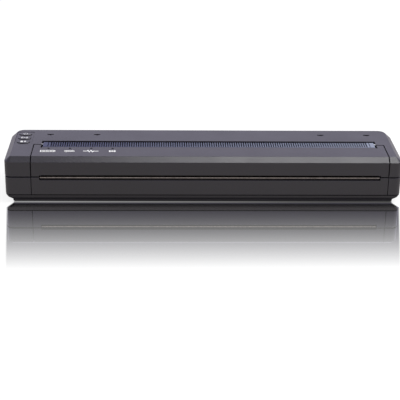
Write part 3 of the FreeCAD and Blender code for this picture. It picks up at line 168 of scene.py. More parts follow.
# White lacquer: its own pale light, and in front of the case a mirror that fades with the square of the
# distance. Its outline is that of the case's mirror image. Close to the case the table is in shadow,
# except for a line of light that leaks through under it from behind.
half_case = Vector((0.1275, 0.0275, 0.0))
mirror_reach = 0.099
shadow_reach = 0.003
table_lacquer, tree, here = new_material("white_lacquered_table")
seen = add(tree, "LightPath").outputs["Is Camera Ray"]
outside = add(tree, "VectorMath", [here], operation="ABSOLUTE")
outside = add(tree, "VectorMath", [outside, half_case], operation="SUBTRACT")
outside = add(tree, "VectorMath", [outside, (0, 0, 0)], operation="MAXIMUM")
distance = add(tree, "VectorMath", [outside], operation="LENGTH")
spot = add(tree, "SeparateXYZ", [here]).outputs
half_length = add(tree, "Math", [spot["X"]], operation="ABSOLUTE")
ahead = add(tree, "Math", [-half_case.y, spot["Y"]], operation="SUBTRACT")
depth = add(tree, "Math", [ahead, 0.0], operation="MAXIMUM")
fade = add(tree, "Math", [depth, 2.0], operation="POWER")
fade = add(tree, "MapRange", [fade, 0.0, mirror_reach ** 2, 1.0, 0.0])
# How far inside the outline: left, right, the notch between the two rounded lower edges, and rear. The
# mirror image leans, so that the first three margins change with the distance in front of the case.
left = add(tree, "Math", [depth, -0.11, spot["X"]], operation="MULTIPLY_ADD")
left = add(tree, "Math", [left, 0.1272])
right_side = add(tree, "Math", [depth, -0.175, half_case.x], operation="MULTIPLY_ADD")
right_side = add(tree, "Math", [right_side, spot["X"]], operation="SUBTRACT")
notch = add(tree, "Math", [depth, 0.45, 0.1232], operation="MULTIPLY_ADD")
notch = add(tree, "Math", [notch, half_length], operation="SUBTRACT")
inside = add(tree, "Math", [0.022, spot["Y"]], operation="SUBTRACT")
for margin in (left, right_side, notch):
    inside = add(tree, "Math", [inside, margin], operation="MINIMUM")
soft_edge = 0.0012
inside = add(tree, "MapRange", [inside, 0.0, soft_edge])
mirror = add(tree, "Math", [inside, fade], operation="MULTIPLY")
# The line of light lies 1.7 mm behind the case's front, ends with its foot, and dims to the right.
leak = add(tree, "Math", [ahead, 0.0017])
leak = add(tree, "Math", [leak], operation="ABSOLUTE")
leak = add(tree, "MapRange", [leak, 0.0005, 0.0018, 1.0, 0.0], interpolation_type="SMOOTHSTEP")
leak_level = add(tree, "MapRange", [spot["X"], -0.13, 0.08, 0.36, 0.1])
under_case = add(tree, "Math", [half_length, 0.125], operation="LESS_THAN")
for factor in (leak_level, under_case):
    leak = add(tree, "Math", [leak, factor], operation="MULTIPLY")
mirror = add(tree, "Math", [mirror, leak], operation="SUBTRACT", use_clamp=True)
# Seen from well above, the lacquer stops mirroring.
slant = add(tree, "MapRange", [add(tree, "LayerWeight").outputs["Facing"], 0.36, 0.5])
for factor in (seen, slant):
    mirror = add(tree, "Math", [mirror, factor], operation="MULTIPLY")
matt = add(tree, "BsdfDiffuse", [srgb("e6e6e6")])
shadow = add(tree, "MapRange", [distance, 0.0, shadow_reach, 0.0, 0.64], interpolation_type="SMOOTHSTEP")
glow_level = add(tree, "Mix", [seen, shadow, 1.18])
glow_tint = add(tree, "Mix", [seen, srgb("fff5f2"), srgb("ffffff")], data_type="RGBA")
glow = add(tree, "Emission", [glow_tint, glow_level])
lit = add(tree, "MixShader", [0.7, matt, glow])
gloss = add(tree, "BsdfGlossy", [srgb("ffffff"), 0.0])
add(tree, "OutputMaterial", [add(tree, "MixShader", [mirror, lit, gloss])])
half = 3.0
corners = [(-half, -half, 0), (half, -half, 0), (half, half, 0), (-half, half, 0)]
new_object("table", corners, [(0, 1, 2, 3)], table_lacquer)

softbox_data = bpy.data.lights.new("overhead_softbox", "AREA")
softbox_data.shape = "RECTANGLE"
softbox_data.size = 1.3
softbox_data.size_y = 0.34
softbox_data.energy = 7.9
softbox = bpy.data.objects.new("overhead_softbox", softbox_data)
softbox.location = (0.592, -0.03, 0.8)
scene.collection.objects.link(softbox)

# Lower case. One injection moulding in charcoal ABS, open at the top, with an undercut skirt. The
# mould's spark-eroded steel leaves a fine even grain, and every outer edge comes out slightly round.


def close_material(tree, colour, rough, relief=None, depth_mm=0.0, strength=1.0, **more):
    """The last nodes of a material: the relief of a height, the shader and the output. The roughness is a
    value, a node, or a node with the roughness where it gives 0 and where it gives 1."""
    if isinstance(rough, tuple):
        rough = add(tree, "MapRange", [rough[0], 0.0, 1.0, *rough[1:]])
    inputs = {"Base Color": colour, "Roughness": rough, **more}
    if relief is not None:
        inputs["Normal"] = add(tree, "Bump", {"Height": relief, "Distance": depth_mm / 1000,
                                              "Strength": strength})
    add(tree, "OutputMaterial", [add(tree, "BsdfPrincipled", inputs)])


def moulded_plastic(name, colour, rough, grain_mm, grain_height_mm):
    """Moulded plastic: grain from the mould, a slow cloudiness in tone, and rubbed spots of gloss."""
    material, tree, here = new_material(name)
    grain = add(tree, "TexNoise", [here, 1000 / grain_mm, 3.0, 0.6])
    cloud_mm = 18.0
    cloud = add(tree, "TexNoise", [here, 1000 / cloud_mm, 2.0, 0.5])
    dim, pale = [(*(Vector(srgb(colour)[:3]) * share), 1) for share in (0.9, 1.1)]
    tone = add(tree, "Mix", [cloud, dim, pale], data_type="RGBA")
    speck = add(tree, "Mix", [0.25, tone, grain.outputs["Color"]], data_type="RGBA", blend_type="OVERLAY")
    sheen = add(tree, "Math", [grain, cloud])
    sheen = add(tree, "MapRange", [sheen, 0.6, 1.4, rough - 0.05, rough + 0.05])
    close_material(tree, speck, sheen, grain, grain_height_mm, 0.6, IOR=1.54)
    return material


def even_normals(mesh, within=14):
    """Shading that keeps flats flat and bends round: each corner of a face takes the mean, by area, of the
    faces round it that lie within some degrees of its own."""
    around = [[] for vertex in mesh.vertices]
    for face in mesh.polygons:
        for vertex in face.vertices:
            around[vertex].append((face.normal.copy(), face.area))
    least = cos(radians(within))
    normals = [Vector((0, 0, 1))] * len(mesh.loops)
    for face in mesh.polygons:
        own = face.normal.copy()
        for loop in face.loop_indices:
            mean = own * 1e-9
            for normal, area in around[mesh.loops[loop].vertex_index]:
                if normal.dot(own) > least:
                    mean += normal * area
            normals[loop] = mean.normalized()
    mesh.polygons.foreach_set("use_smooth", [True] * len(mesh.polygons))
    mesh.normals_split_custom_set(normals)


def rounded_copy(node, name, material, edge_mm, segments=2):
    """The CAD node's form as a fresh mesh. Its longer edges are rounded, its short ones stay crisp."""
    source = frame["nodes"][node]
    same_place, flat, corner = 0.00002, radians(0.6), radians(28)
    long_enough = 2.05 * edge_mm / 1000
    bm = bmesh.new()
    bm.from_mesh(source.data)
    bmesh.ops.remove_doubles(bm, verts=bm.verts, dist=same_place)
    bmesh.ops.dissolve_limit(bm, angle_limit=flat, verts=bm.verts, edges=bm.edges, delimit=set())
    corners = []
    for edge in bm.edges:
        near = [other.calc_length() for vert in edge.verts for other in vert.link_edges]
        sharp = len(edge.link_faces) == 2 and edge.calc_face_angle(0.0) > corner
        if sharp and min(near) > long_enough:
            corners.append(edge)
    bmesh.ops.bevel(bm, geom=corners, offset=edge_mm / 1000, offset_type="OFFSET", segments=segments,
                    profile=0.5, affect="EDGES", clamp_overlap=True)
    mesh = bpy.data.meshes.new(name)
    bm.to_mesh(mesh)
    bm.free()
    mesh.materials.clear()
    mesh.materials.append(material)
    even_normals(mesh)
    made = bpy.data.objects.new(name, mesh)
    scene.collection.objects.link(made)
    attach(made, source["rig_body"])
    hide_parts(node)
    return made


def mm_box(node):
    """A node's lowest and highest corners in millimetres."""
    return [Vector(corner) * 1000 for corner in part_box(node)]


# Charcoal ABS: a satin near-black that goes grey where it mirrors the room at a low angle.
charcoal_abs = moulded_plastic("moulded_charcoal_abs", "222026", 0.34, 0.8, 0.012)
rounded_copy("lower_case", "lower_case_moulding", charcoal_abs, 0.25)

# Rubber feet. Four discs punched from black rubber sheet and glued under the floor. The punched sheet
# keeps the cloth weave that it was pressed on.

foot_pitch_mm = 0.9


def two_tones(tree, here, scale, detail, dark, light, **more):
    """Noise, and two colours mixed by it. Three scales in place of one draw the noise out."""
    if isinstance(scale, tuple):
        here = add(tree, "Mapping", {"Vector": here, "Scale": scale})
        scale = 1.0
    noise = add(tree, "TexNoise", {"Vector": here, "Scale": scale, "Detail": detail, **more})
    return noise, add(tree, "Mix", [noise, srgb(dark), srgb(light)], data_type="RGBA")


foot_rubber, tree, here = new_material("pressed_foot_rubber")
weave = [add(tree, "TexWave", [here, 1000 / (foot_pitch_mm * 20), 0.6], wave_type="BANDS",
             bands_direction=axis) for axis in "XY"]
cloth = add(tree, "Math", [weave[0].outputs["Fac"], weave[1].outputs["Fac"]], operation="MULTIPLY")
tone = two_tones(tree, here, 260.0, 4.0, "131313", "2e2c2a")[1]
close_material(tree, tone, 0.8, cloth, 0.08, IOR=1.52)
rounded_copy("rubber_feet", "punched_feet", foot_rubber, 0.12)

# Chassis. One blank of zinc-plated sheet steel, punched and bent up into a tray with two side plates.
# It rests on the floor and carries the platen, the gears and the motor.


def rolled_metal(name, dark, light, rough, streak_mm, along="X"):
    """Rolled or extruded metal: fine streaks along one axis, with cloudy spots of plating or oxide."""
    material, tree, here = new_material(name)
    squeeze = [1000 / streak_mm / (40 if axis == along else 1) for axis in "XYZ"]
    lines = add(tree, "Mapping", {"Vector": here, "Scale": squeeze})
    streak = add(tree, "TexNoise", [lines, 1.0, 2.0, 0.55])
    spot = add(tree, "TexNoise", [here, 190.0, 4.0])
    both = add(tree, "Math", [streak, spot], operation="MULTIPLY")
    tone = add(tree, "MapRange", [both, 0.12, 0.42])
    colour = add(tree, "Mix", [tone, srgb(dark), srgb(light)], data_type="RGBA")
    sheen = add(tree, "MapRange", [streak, 0.3, 0.7, rough - 0.08, rough + 0.08])
    close_material(tree, colour, sheen, streak, 0.012, Metallic=1.0)
    return material


def finish_node(node, material):
    """Give a CAD node that stays as it is a finished material."""
    kept = frame["nodes"][node].data.materials
    kept.clear()
    kept.append(material)


# Zinc-plated steel: a pale bluish grey with faint rolling streaks.
zinc_sheet = rolled_metal("zinc_plated_sheet_steel", "8d9194", "c3c6c8", 0.34, 0.5)
rounded_copy("chassis", "bent_chassis", zinc_sheet, 0.1, segments=1)

# Platen bushings. Two flanged sleeves moulded in white acetal, pressed into the side plates. Acetal is
# slightly translucent, so that its edges look milky.

acetal, tree, here = new_material("moulded_white_acetal")
flow, tone = two_tones(tree, here, 320.0, 3.0, "cdc9bb", "e4e1d6", Distortion=0.8)
milky = {"Subsurface Weight": 0.2, "Subsurface Radius": (0.002, 0.002, 0.0018), "Subsurface Scale": 0.5}
close_material(tree, tone, (flow, 0.28, 0.42), flow, 0.02, IOR=1.48, **milky)
for side in ("left", "right"):
    rounded_copy(side + "_bushing", side + "_bushing_moulding", acetal, 0.12)

# Platen. A silicone rubber sleeve is moulded onto a steel shaft and ground true. The grinding wheel
# leaves a matt skin with very fine rings round it, drawn here at 0.5 mm so that they show.

ring_mm = 0.5
platen_silicone, tree, here = new_material("ground_silicone_rubber")
ring, tone = two_tones(tree, here, (1000 / ring_mm, 60.0, 60.0), 2.0, "1a1a1b", "333332")
close_material(tree, tone, 0.68, ring, 0.03, IOR=1.41)
rounded_copy("platen_rubber", "platen_sleeve", platen_silicone, 0.25)


def turned_metal(name, dark, light, rough, ring_mm):
    """Metal that was turned or ground about the X axis: fine rings, each a little different in gloss."""
    material, tree, here = new_material(name)
    ring, colour = two_tones(tree, here, (1000 / ring_mm, 30.0, 30.0), 3.0, dark, light, Roughness=0.6)
    close_material(tree, colour, (ring, rough - 0.08, rough + 0.08), ring, 0.01, Metallic=1.0)
    return material


# Ground steel: bright, with hair-fine rings.
ground_steel = turned_metal("ground_steel", "9b9da0", "d2d3d5", 0.22, 0.12)
rounded_copy("platen_shaft", "platen_shaft_bar", ground_steel, 0.2)
rounded_copy("platen_gear", "platen_gear_moulding", acetal, 0.06, segments=1)

# Reduction gear. Two wheels moulded in one piece of the same acetal. It turns on a steel stud that is
# riveted into the left side plate and ends in a flat head.

rounded_copy("reduction_gear", "reduction_gear_moulding", acetal, 0.06, segments=1)
rounded_copy("reduction_stud", "riveted_stud", ground_steel, 0.15)

# Motor. A drawn steel can, zinc plated, with a black plastic end bell and two solder tabs at its back.
# Its brass pinion drives the reduction gear.


def mm_middle(node):
    """The middle of a node's box in millimetres."""
    low, high = mm_box(node)
    return [(a + b) / 2 for a, b in zip(low, high)]


def tube(rings, steps):
    """Faces between rings of vertices, one ring after another, and a cap at each end."""
    faces = [(steps * i + j, steps * i + (j + 1) % steps, steps * (i + 1) + (j + 1) % steps,
              steps * (i + 1) + j) for i in range(rings - 1) for j in range(steps)]
    return faces + [tuple(reversed(range(steps))), tuple(range((rings - 1) * steps, rings * steps))]


def face_outward(made, smooth_below=None):
    """Turn every face outward, and shade smooth where two faces meet at less than some degrees."""
    bm = bmesh.new()
    bm.from_mesh(made.data)
    bmesh.ops.recalc_face_normals(bm, faces=bm.faces)
    bm.to_mesh(made.data)
    bm.free()
    if smooth_below:
        made.data.shade_smooth()
        made.data.set_sharp_from_angle(angle=radians(smooth_below))


def arc(radius, start, end, steps):
    """Points of an arc in millimetres, from one angle to another in degrees."""
    angles = [radians(start + (end - start) * i / steps) for i in range(steps + 1)]
    return [(radius * cos(angle), radius * sin(angle)) for angle in angles]


def lathe(name, axis_at, profile, material, slot, steps=40, axis="X"):
    """A turned form about the X or Z axis, from (along, radius) pairs in millimetres."""
    vertices = []
    for along, radius in profile:
        for a, b in arc(radius, 0, 360, steps)[:-1]:
            a, b = axis_at[0] + a, axis_at[1] + b
            vertices.append(Vector((along, a, b) if axis == "X" else (a, b, along)) / 1000)
    face_outward(new_object(name, vertices, tube(len(profile), steps), material, "base", slot), 35)


def joined(forms):
    """Vertices and faces of many forms, put together as one."""
    vertices, faces = [], []
    for more, sides in forms:
        faces += [tuple(i + len(vertices) for i in side) for side in sides]
        vertices += more
    return vertices, faces


def blocks(name, corners, edge, material, slot):
    """One mesh of blocks whose upper edges are cut at 45 degrees, from (low, high) corners in millimetres."""
    forms = []
    for (x0, y0, z0), (x1, y1, z1) in corners:
        rings = [(x0, y0, x1, y1, z0), (x0, y0, x1, y1, z1 - edge),
                 (x0 + edge, y0 + edge, x1 - edge, y1 - edge, z1)]
        vertices = [Vector(corner) / 1000 for a, b, c, d, z in rings
                    for corner in ((a, b, z), (c, b, z), (c, d, z), (a, d, z))]
        forms.append((vertices, tube(3, 4)))
    new_object(name, *joined(forms), material, "base", slot)


motor_zinc = turned_metal("zinc_plated_drawn_can", "8b8f92", "b9bcbe", 0.32, 0.9)
rounded_copy("motor", "motor_can_drawing", motor_zinc, 0.5, segments=3)
motor_y, motor_z = mm_middle("motor")[1:]
can_end = mm_box("motor")[1].x
black_nylon = moulded_plastic("moulded_black_nylon", "141414", 0.42, 0.5, 0.01)
bell = ((-0.4, 6.6), (0.15, 6.6), (0.3, 6.4), (0.3, 2.4), (0.55, 2.2), (0.55, 0.6))
lathe("motor_end_bell", (motor_y, motor_z), [(can_end + along, radius) for along, radius in bell],
      black_nylon, "black_component")
tinned_copper = rolled_metal("tinned_copper", "a9a9a6", "dddcd8", 0.3, 0.3, along="Z")
blocks("motor_tabs", [((can_end + 0.3, motor_y + y - 0.8, motor_z - 5.6),
                       (can_end + 0.6, motor_y + y + 0.8, motor_z - 3.4)) for y in (-3.0, 3.0)],
       0.1, tinned_copper, "port_shell")
pinion_brass = turned_metal("hobbed_brass", "a98238", "d9b565", 0.25, 0.2)
rounded_copy("motor_pinion", "brass_pinion", pinion_brass, 0.05, segments=1)

# Motor cable. A flat film cable with parallel copper tracks at 1 mm, from the motor's back up to the
# board. The tracks show through the pale polyester film as darker stripes.

track_mm = 1.0
cable_film, tree, here = new_material("polyester_film_cable")
across = add(tree, "SeparateXYZ", [here]).outputs["Y"]
stripe = add(tree, "Math", [across, track_mm / 2000], operation="PINGPONG")
stripe = add(tree, "MapRange", [stripe, 0.00012, 0.0002])
film = two_tones(tree, here, 700.0, 2.0, "c9c8c0", "e6e5df")[1]
colour = add(tree, "Mix", [stripe, film, srgb("8a8174")], data_type="RGBA")
close_material(tree, colour, 0.32, stripe, 0.04, IOR=1.6)
rounded_copy("motor_cable", "flat_motor_cable", cable_film, 0.08, segments=1)

# Main board. Glass-fibre laminate under green solder mask, with copper tracks that show through it and
# tinned vias. Its chips are black epoxy with tinned legs, and two capacitor cans stand beside them.

track_pitch_mm = 1.3
via_pitch_mm = 3.4


def circuit_board(name, bottom_mm, thickness_mm):
    """Green solder mask over tracks. What stands on the board is black epoxy, and its edge is bare."""
    top_mm = bottom_mm + thickness_mm
    black, white = (0, 0, 0, 1), (1, 1, 1, 1)
    material, tree, here = new_material(name)
    height = add(tree, "SeparateXYZ", [here]).outputs["Z"]
    tracks = add(tree, "TexBrick", {"Vector": here, "Scale": 1000 / track_pitch_mm, "Color1": black,
                                    "Color2": black, "Mortar": white, "Mortar Size": 0.16,
                                    "Mortar Smooth": 0.1, "Brick Width": 7.0, "Row Height": 1.0},
                 offset=0.37, squash=0.6, squash_frequency=3)
    vias = add(tree, "TexVoronoi", {"Vector": here, "Scale": 1000 / via_pitch_mm, "Randomness": 0.7})
    via = add(tree, "MapRange", [vias, 0.11, 0.14, 1.0, 0.0])
    mask = add(tree, "Mix", [tracks, srgb("0b3d24"), srgb("1d6b41")], data_type="RGBA")
    mask = add(tree, "Mix", [via, mask, srgb("b9b9b2")], data_type="RGBA")
    grain, epoxy = two_tones(tree, here, 2600.0, 2.0, "161617", "2b2b2c")
    above = add(tree, "Math", [height, (top_mm + 0.02) / 1000], operation="GREATER_THAN")
    colour = add(tree, "Mix", [above, mask, epoxy], data_type="RGBA")
    core = add(tree, "Math", [height, (top_mm - thickness_mm / 2) / 1000], operation="SUBTRACT")
    core = add(tree, "Math", [core], operation="ABSOLUTE")
    edge = add(tree, "Math", [core, (thickness_mm / 2 - 0.03) / 1000], operation="LESS_THAN")
    colour = add(tree, "Mix", [edge, colour, srgb("8f8a55")], data_type="RGBA")
    relief = add(tree, "Math", [grain, 0.15, tracks], operation="MULTIPLY_ADD")
    close_material(tree, colour, (above, 0.24, 0.55), relief, 0.03, IOR=1.55)
    return material


board_thickness = 1.2
board_bottom = mm_box("main_board")[0].z
board_top = board_bottom + board_thickness
finish_node("main_board", circuit_board("green_solder_mask_board", board_bottom, board_thickness))

slot_middle = mm_middle("paper_chute")[0]
board_front = mm_box("paper_chute")[1].y + 0.6
chip_front = board_front + 3.0
leg_pitch = 0.8
leg_half = 0.15
legs = []
for offset, size in ((-76, 9), (-20, 12), (8, 7), (60, 8)):
    chip_x = slot_middle + offset
    count = int(size / leg_pitch) - 1
    for step in range(count):
        y = chip_front + size / 2 + (step - (count - 1) / 2) * leg_pitch
        for x, out in ((chip_x, -1), (chip_x + size, 1)):
            for from_chip, to_toe, low, high in ((0.0, 0.45, 0.08, 0.62), (0.35, 1.0, 0.0, 0.16)):
                x0, x1 = sorted((x + out * from_chip, x + out * to_toe))
                legs.append(((x0, y - leg_half, board_top + low), (x1, y + leg_half, board_top + high)))
blocks("chip_legs", legs, 0.04, tinned_copper, "port_shell")
# Rows of chip capacitors: a tan ceramic body with a tinned cap over each end.
small_parts, end_caps = [], []
for row, (x0, count) in enumerate(((-62, 14), (-8, 9), (22, 16), (74, 8))):
    for step in range(count):
        x = slot_middle + x0 + 2.1 * step
        y = chip_front + 1.2 + 3.4 * ((step * 5 + row) % 3)
        small_parts.append(((x - 0.45, y - 0.4, board_top), (x + 0.45, y + 0.4, board_top + 0.5)))
        for a, b in ((x - 0.8, x - 0.45), (x + 0.45, x + 0.8)):
            end_caps.append(((a, y - 0.42, board_top), (b, y + 0.42, board_top + 0.53)))
ceramic_tan = moulded_plastic("fired_ceramic_chip_parts", "8a6f52", 0.5, 0.3, 0.004)
blocks("chip_capacitors", small_parts, 0.05, ceramic_tan, "black_component")
blocks("chip_capacitor_ends", end_caps, 0.05, tinned_copper, "port_shell")
can_aluminium = rolled_metal("drawn_aluminium_can", "a5a7a8", "d6d7d8", 0.25, 0.3, along="Z")
can = ((0.0, 2.1), (0.4, 2.1), (0.55, 1.9), (0.7, 2.1), (2.3, 2.1), (2.5, 1.9), (2.5, 0.2))
for index, x in enumerate((slot_middle - 40, slot_middle + 46)):
    lathe(f"capacitor_can_{index}", (x, chip_front + 3.0),
          [(board_top + height, radius) for height, radius in can], can_aluminium, "port_shell", 28, "Z")

# Tact switches. Three small keys soldered on the board's wing. Each is a black base under a thin
# stamped steel cover, and the button's stem sits in its square hole.

switch_material = moulded_plastic("moulded_black_switch_base", "1b1b1c", 0.45, 0.4, 0.006)
rounded_copy("tact_switches", "switch_bases", switch_material, 0.15, segments=1)
stamped_steel = rolled_metal("stamped_stainless_cover", "9b9c9e", "cfd0d1", 0.28, 0.25)
button_places = {key: (*mm_middle(key + "_button")[:2], mm_box(key + "_button")[1].z)
                 for key in ("power", "link", "feed")}
switch_top = mm_box("tact_switches")[1].z
rim, hole = 2.2, 1.2
strips = ((-rim, rim, -rim, -hole), (-rim, rim, hole, rim), (-rim, -hole, -hole, hole),
          (hole, rim, -hole, hole))
covers = [((x + x0, y + y0, switch_top - 0.02), (x + x1, y + y1, switch_top + 0.08))
          for x, y, z in button_places.values() for x0, x1, y0, y1 in strips]
blocks("switch_covers", covers, 0.02, stamped_steel, "port_shell")

# Power inlet and data port. The inlet is a black nylon barrel jack with a plated centre pin. The port is
# a folded tinned-steel shell round a black tongue with gold contacts.

inlet_y, inlet_z = mm_middle("power_inlet")[1:]
pin_radius = 0.0009
jack_nylon, tree, here = new_material("black_nylon_with_plated_pin")
offset = add(tree, "VectorMath", [here, (0, inlet_y / 1000, inlet_z / 1000)], operation="SUBTRACT")
offset = add(tree, "VectorMath", [offset, (0, 1, 1)], operation="MULTIPLY")
reach = add(tree, "VectorMath", [offset], operation="LENGTH")
is_pin = add(tree, "Math", [reach, pin_radius], operation="LESS_THAN")
grain, nylon = two_tones(tree, here, 1800.0, 2.0, "0f0f10", "222223")
colour = add(tree, "Mix", [is_pin, nylon, srgb("c9c5b4")], data_type="RGBA")
close_material(tree, colour, (is_pin, 0.4, 0.2), grain, 0.01, Metallic=is_pin)
rounded_copy("power_inlet", "power_inlet_moulding", jack_nylon, 0.15)

port_y, port_z = mm_middle("data_port")[1:]
port_shell, tree, here = new_material("tinned_shell_with_black_tongue")
parts = add(tree, "SeparateXYZ", [here]).outputs
within = []
for axis, middle, reach in (("Z", port_z, 0.00046), ("Y", port_y, 0.0025)):
    away = add(tree, "Math", [parts[axis], middle / 1000], operation="SUBTRACT")
    away = add(tree, "Math", [away], operation="ABSOLUTE")
    within.append(add(tree, "Math", [away, reach], operation="LESS_THAN"))
tongue = add(tree, "Math", within, operation="MULTIPLY")
streak, tin = two_tones(tree, here, 900.0, 3.0, "9fa1a3", "d5d6d7")
colour = add(tree, "Mix", [tongue, tin, srgb("151516")], data_type="RGBA")
shine = add(tree, "Math", [1.0, tongue], operation="SUBTRACT")
close_material(tree, colour, (streak, 0.2, 0.42), Metallic=shine)
rounded_copy("data_port", "data_port_shell", port_shell, 0.12)

# Battery pack. Three round cells end to end in blue PVC shrink film, with their leads at the left. The
# film is glossy, necks in a little where two cells meet, and wrinkles round each end.

pack_low, pack_high = mm_box("battery_pack")
cell_mm = (pack_high.x - pack_low.x) / 3
shrink_film, tree, here = new_material("blue_pvc_shrink_film")
along = add(tree, "SeparateXYZ", [here]).outputs["X"]
along = add(tree, "Math", [along, pack_low.x / 1000], operation="SUBTRACT")
joint = add(tree, "Math", [along, cell_mm / 2000], operation="PINGPONG")
neck = add(tree, "MapRange", [joint, 0.0, 0.0022], interpolation_type="SMOOTHSTEP")
wrinkle, colour = two_tones(tree, here, (30.0, 700.0, 700.0), 3.0, "162c5c", "274a86")
wrinkle_near = add(tree, "MapRange", [joint, 0.0, 0.008, 0.5, 0.08])
fold = add(tree, "Math", [wrinkle, wrinkle_near], operation="MULTIPLY")
relief = add(tree, "Math", [neck, fold])
close_material(tree, colour, 0.22, relief, 0.5, IOR=1.54)
rounded_copy("battery_pack", "battery_sleeve", shrink_film, 0.3)

# Battery contacts. A black nylon block stands in the floor and holds three gold-plated spring blades
# that press on the pack's end.

block_end = (mm_box("battery_contacts")[0].x + 1.02) / 1000
contact_set, tree, here = new_material("black_nylon_with_gold_blades")
along = add(tree, "SeparateXYZ", [here]).outputs["X"]
blade = add(tree, "Math", [along, block_end], operation="GREATER_THAN")
rub, gold = two_tones(tree, here, 900.0, 3.0, "b48a3a", "e3c272")
colour = add(tree, "Mix", [blade, srgb("171718"), gold], data_type="RGBA")
close_material(tree, colour, (rub, 0.22, 0.45), Metallic=blade)
rounded_copy("battery_contacts", "battery_contact_block", contact_set, 0.1, segments=1)

# Battery door. A charcoal ABS moulding that slides out to the rear on a tongue at each end. Four
# sunk bars in its underside give the thumb a grip, and an arrow beside them shows the way out.

rounded_copy("battery_door", "battery_door_moulding", charcoal_abs, 0.2)

# Pad-printed white ink: nearly opaque, with a thin spot here and there.
ink_mm = 0.03
white_ink, tree, here = new_material("pad_printed_white_ink")
cover = add(tree, "TexNoise", [here, 1500.0, 3.0])
thin = add(tree, "MapRange", [cover, 0.25, 0.5])
colour = add(tree, "Mix", [thin, srgb("c9c9cc"), srgb("f4f4f5")], data_type="RGBA")
close_material(tree, colour, 0.5, cover, 0.006, IOR=1.5)


def ink_strokes(name, strokes, width, at, body):
    """Printed lines: each stroke is a list of (x, y) points in millimetres round a place on a face."""
    vertices, faces = [], []
    for stroke in strokes:
        closed = stroke[0] == stroke[-1] and len(stroke) > 2
        points = [Vector(p) for p in (stroke[:-1] if closed else stroke)]
        count = len(points)
        first = len(vertices)
        for i, point in enumerate(points):
            ways = []
            if i or closed:
                ways.append((point - points[i - 1]).normalized())
            if i < count - 1 or closed:
                ways.append((points[(i + 1) % count] - point).normalized())
            way = sum(ways, Vector((0, 0))).normalized()
            stretch = 1 / max(0.5, way.dot(ways[0]))
            side = Vector((-way.y, way.x)) * width / 2 * stretch
            vertices += [Vector((at[0] + edge.x, at[1] + edge.y, at[2] + level)) / 1000
                         for level in (-ink_mm, ink_mm) for edge in (point + side, point - side)]
        for i in range(count if closed else count - 1):
            a, b = first + 4 * i, first + 4 * ((i + 1) % count)
            faces += [(a + 2, a + 3, b + 3, b + 2), (a, b, b + 1, a + 1), (a, a + 2, b + 2, b),
                      (a + 1, b + 1, b + 3, a + 3)]
        if not closed:
            last = first + 4 * (count - 1)
            faces += [(first, first + 1, first + 3, first + 2), (last, last + 2, last + 3, last + 1)]
    face_outward(new_object(name, vertices, faces, white_ink, body, "white_acetal"))


door_x, door_y = mm_middle("battery_door")[:2]
arrow = [[(0, -3.2), (0, 3.0)], [(-1.8, 1.2), (0, 3.2), (1.8, 1.2)]]
for index, x in enumerate((-20.0, 20.0)):
    ink_strokes(f"door_arrow_{index}", arrow, 0.6,
                (door_x + x, door_y + 2.5, mm_box("battery_door")[0].z), "door")

# Paper chute. A curved black ABS sheet behind the platen. Low runners along the paper's way keep the
# sheet off its surface, and the moulding is polished so that paper doesn't catch.

chute_abs = moulded_plastic("polished_black_abs", "161617", 0.26, 1.4, 0.004)
rounded_copy("paper_chute", "paper_chute_moulding", chute_abs, 0.2)
chute_low, chute_high = mm_box("paper_chute")
sheet = 1.2
chute_centre_y = cad_bounds[0][1] * 1000 + 20.5
chute_radius = chute_high.y - sheet - chute_centre_y
chute_centre_z = chute_low.z + sheet + chute_radius


def runners(name, radius, height, angles, spread, body):
    """Low rounded ribs that follow an arc round the chute's centre line."""
    vertices, faces = [], []
    for x in spread:
        first = len(vertices)
        for angle in angles:
            c, s = cos(radians(angle)), sin(radians(angle))
            for dx, lift in ((-0.5, 0.0), (-0.28, 0.75), (0.0, 1.0), (0.28, 0.75), (0.5, 0.0)):
                r = radius - height * lift
                vertices.append(Vector((x + dx, chute_centre_y + r * c, chute_centre_z + r * s)) / 1000)
        last = first + 5 * (len(angles) - 1)
        for i in range(first, last, 5):
            faces += [(i + j, i + j + 1, i + j + 6, i + j + 5) for j in range(4)]
            faces.append((i, i + 5, i + 9, i + 4))
        faces += [tuple(range(first, first + 5)), tuple(reversed(range(last, last + 5)))]
    face_outward(new_object(name, vertices, faces, chute_abs, body, "black_guide"), 40)


runner_places = [slot_middle + 12.0 * i for i in range(-8, 9)]
runners("chute_runners", chute_radius + 0.05, 0.35, [-4 - 6 * i for i in range(14)], runner_places, "base")

# Paper sensor. A small black reflective sensor under the chute, with a dark red window over its lamp
# and its eye. It clips to the sheet from below.

sensor_nylon = moulded_plastic("infrared_black_nylon", "190f12", 0.3, 0.4, 0.004)
rounded_copy("paper_sensor", "paper_sensor_body", sensor_nylon, 0.2)

# Exit guide. The lip in the slot that the sheet slides out over. It is folded from thin steel sheet,
# painted black. A pale band along its front edge, streaked by scratch noise, is a painted highlight.

lip_paint_with_highlight, tree, here = new_material("black_painted_steel_lip")
across = add(tree, "SeparateXYZ", [here]).outputs["Y"]
lip_front = mm_box("exit_guide")[0].y
highlight_width = 0.5
lines = add(tree, "Mapping", {"Vector": here, "Scale": (900.0, 60.0, 60.0)})
scratch = add(tree, "TexNoise", [lines, 1.0, 3.0])
# The pale band along the lip's front edge is a painted highlight, streaked by scratch noise.
near_edge = add(tree, "MapRange", [across, lip_front / 1000, (lip_front + highlight_width) / 1000, 1.0, 0.0])
edge_highlight = add(tree, "Math", [near_edge, scratch], operation="MULTIPLY")
colour = add(tree, "Mix", [edge_highlight, srgb("2e2826"), srgb("c2b8b0")], data_type="RGBA")
close_material(tree, colour, (scratch, 0.24, 0.4), IOR=1.5)
rounded_copy("exit_guide", "folded_exit_lip", lip_paint_with_highlight, 0.1)

# Upper case. Both end blocks and the plate behind the paper inlet, moulded in one piece in the same
# charcoal ABS as the lower case and screwed to it from below.

upper_case = rounded_copy("upper_case", "upper_case_moulding", charcoal_abs, 0.25)
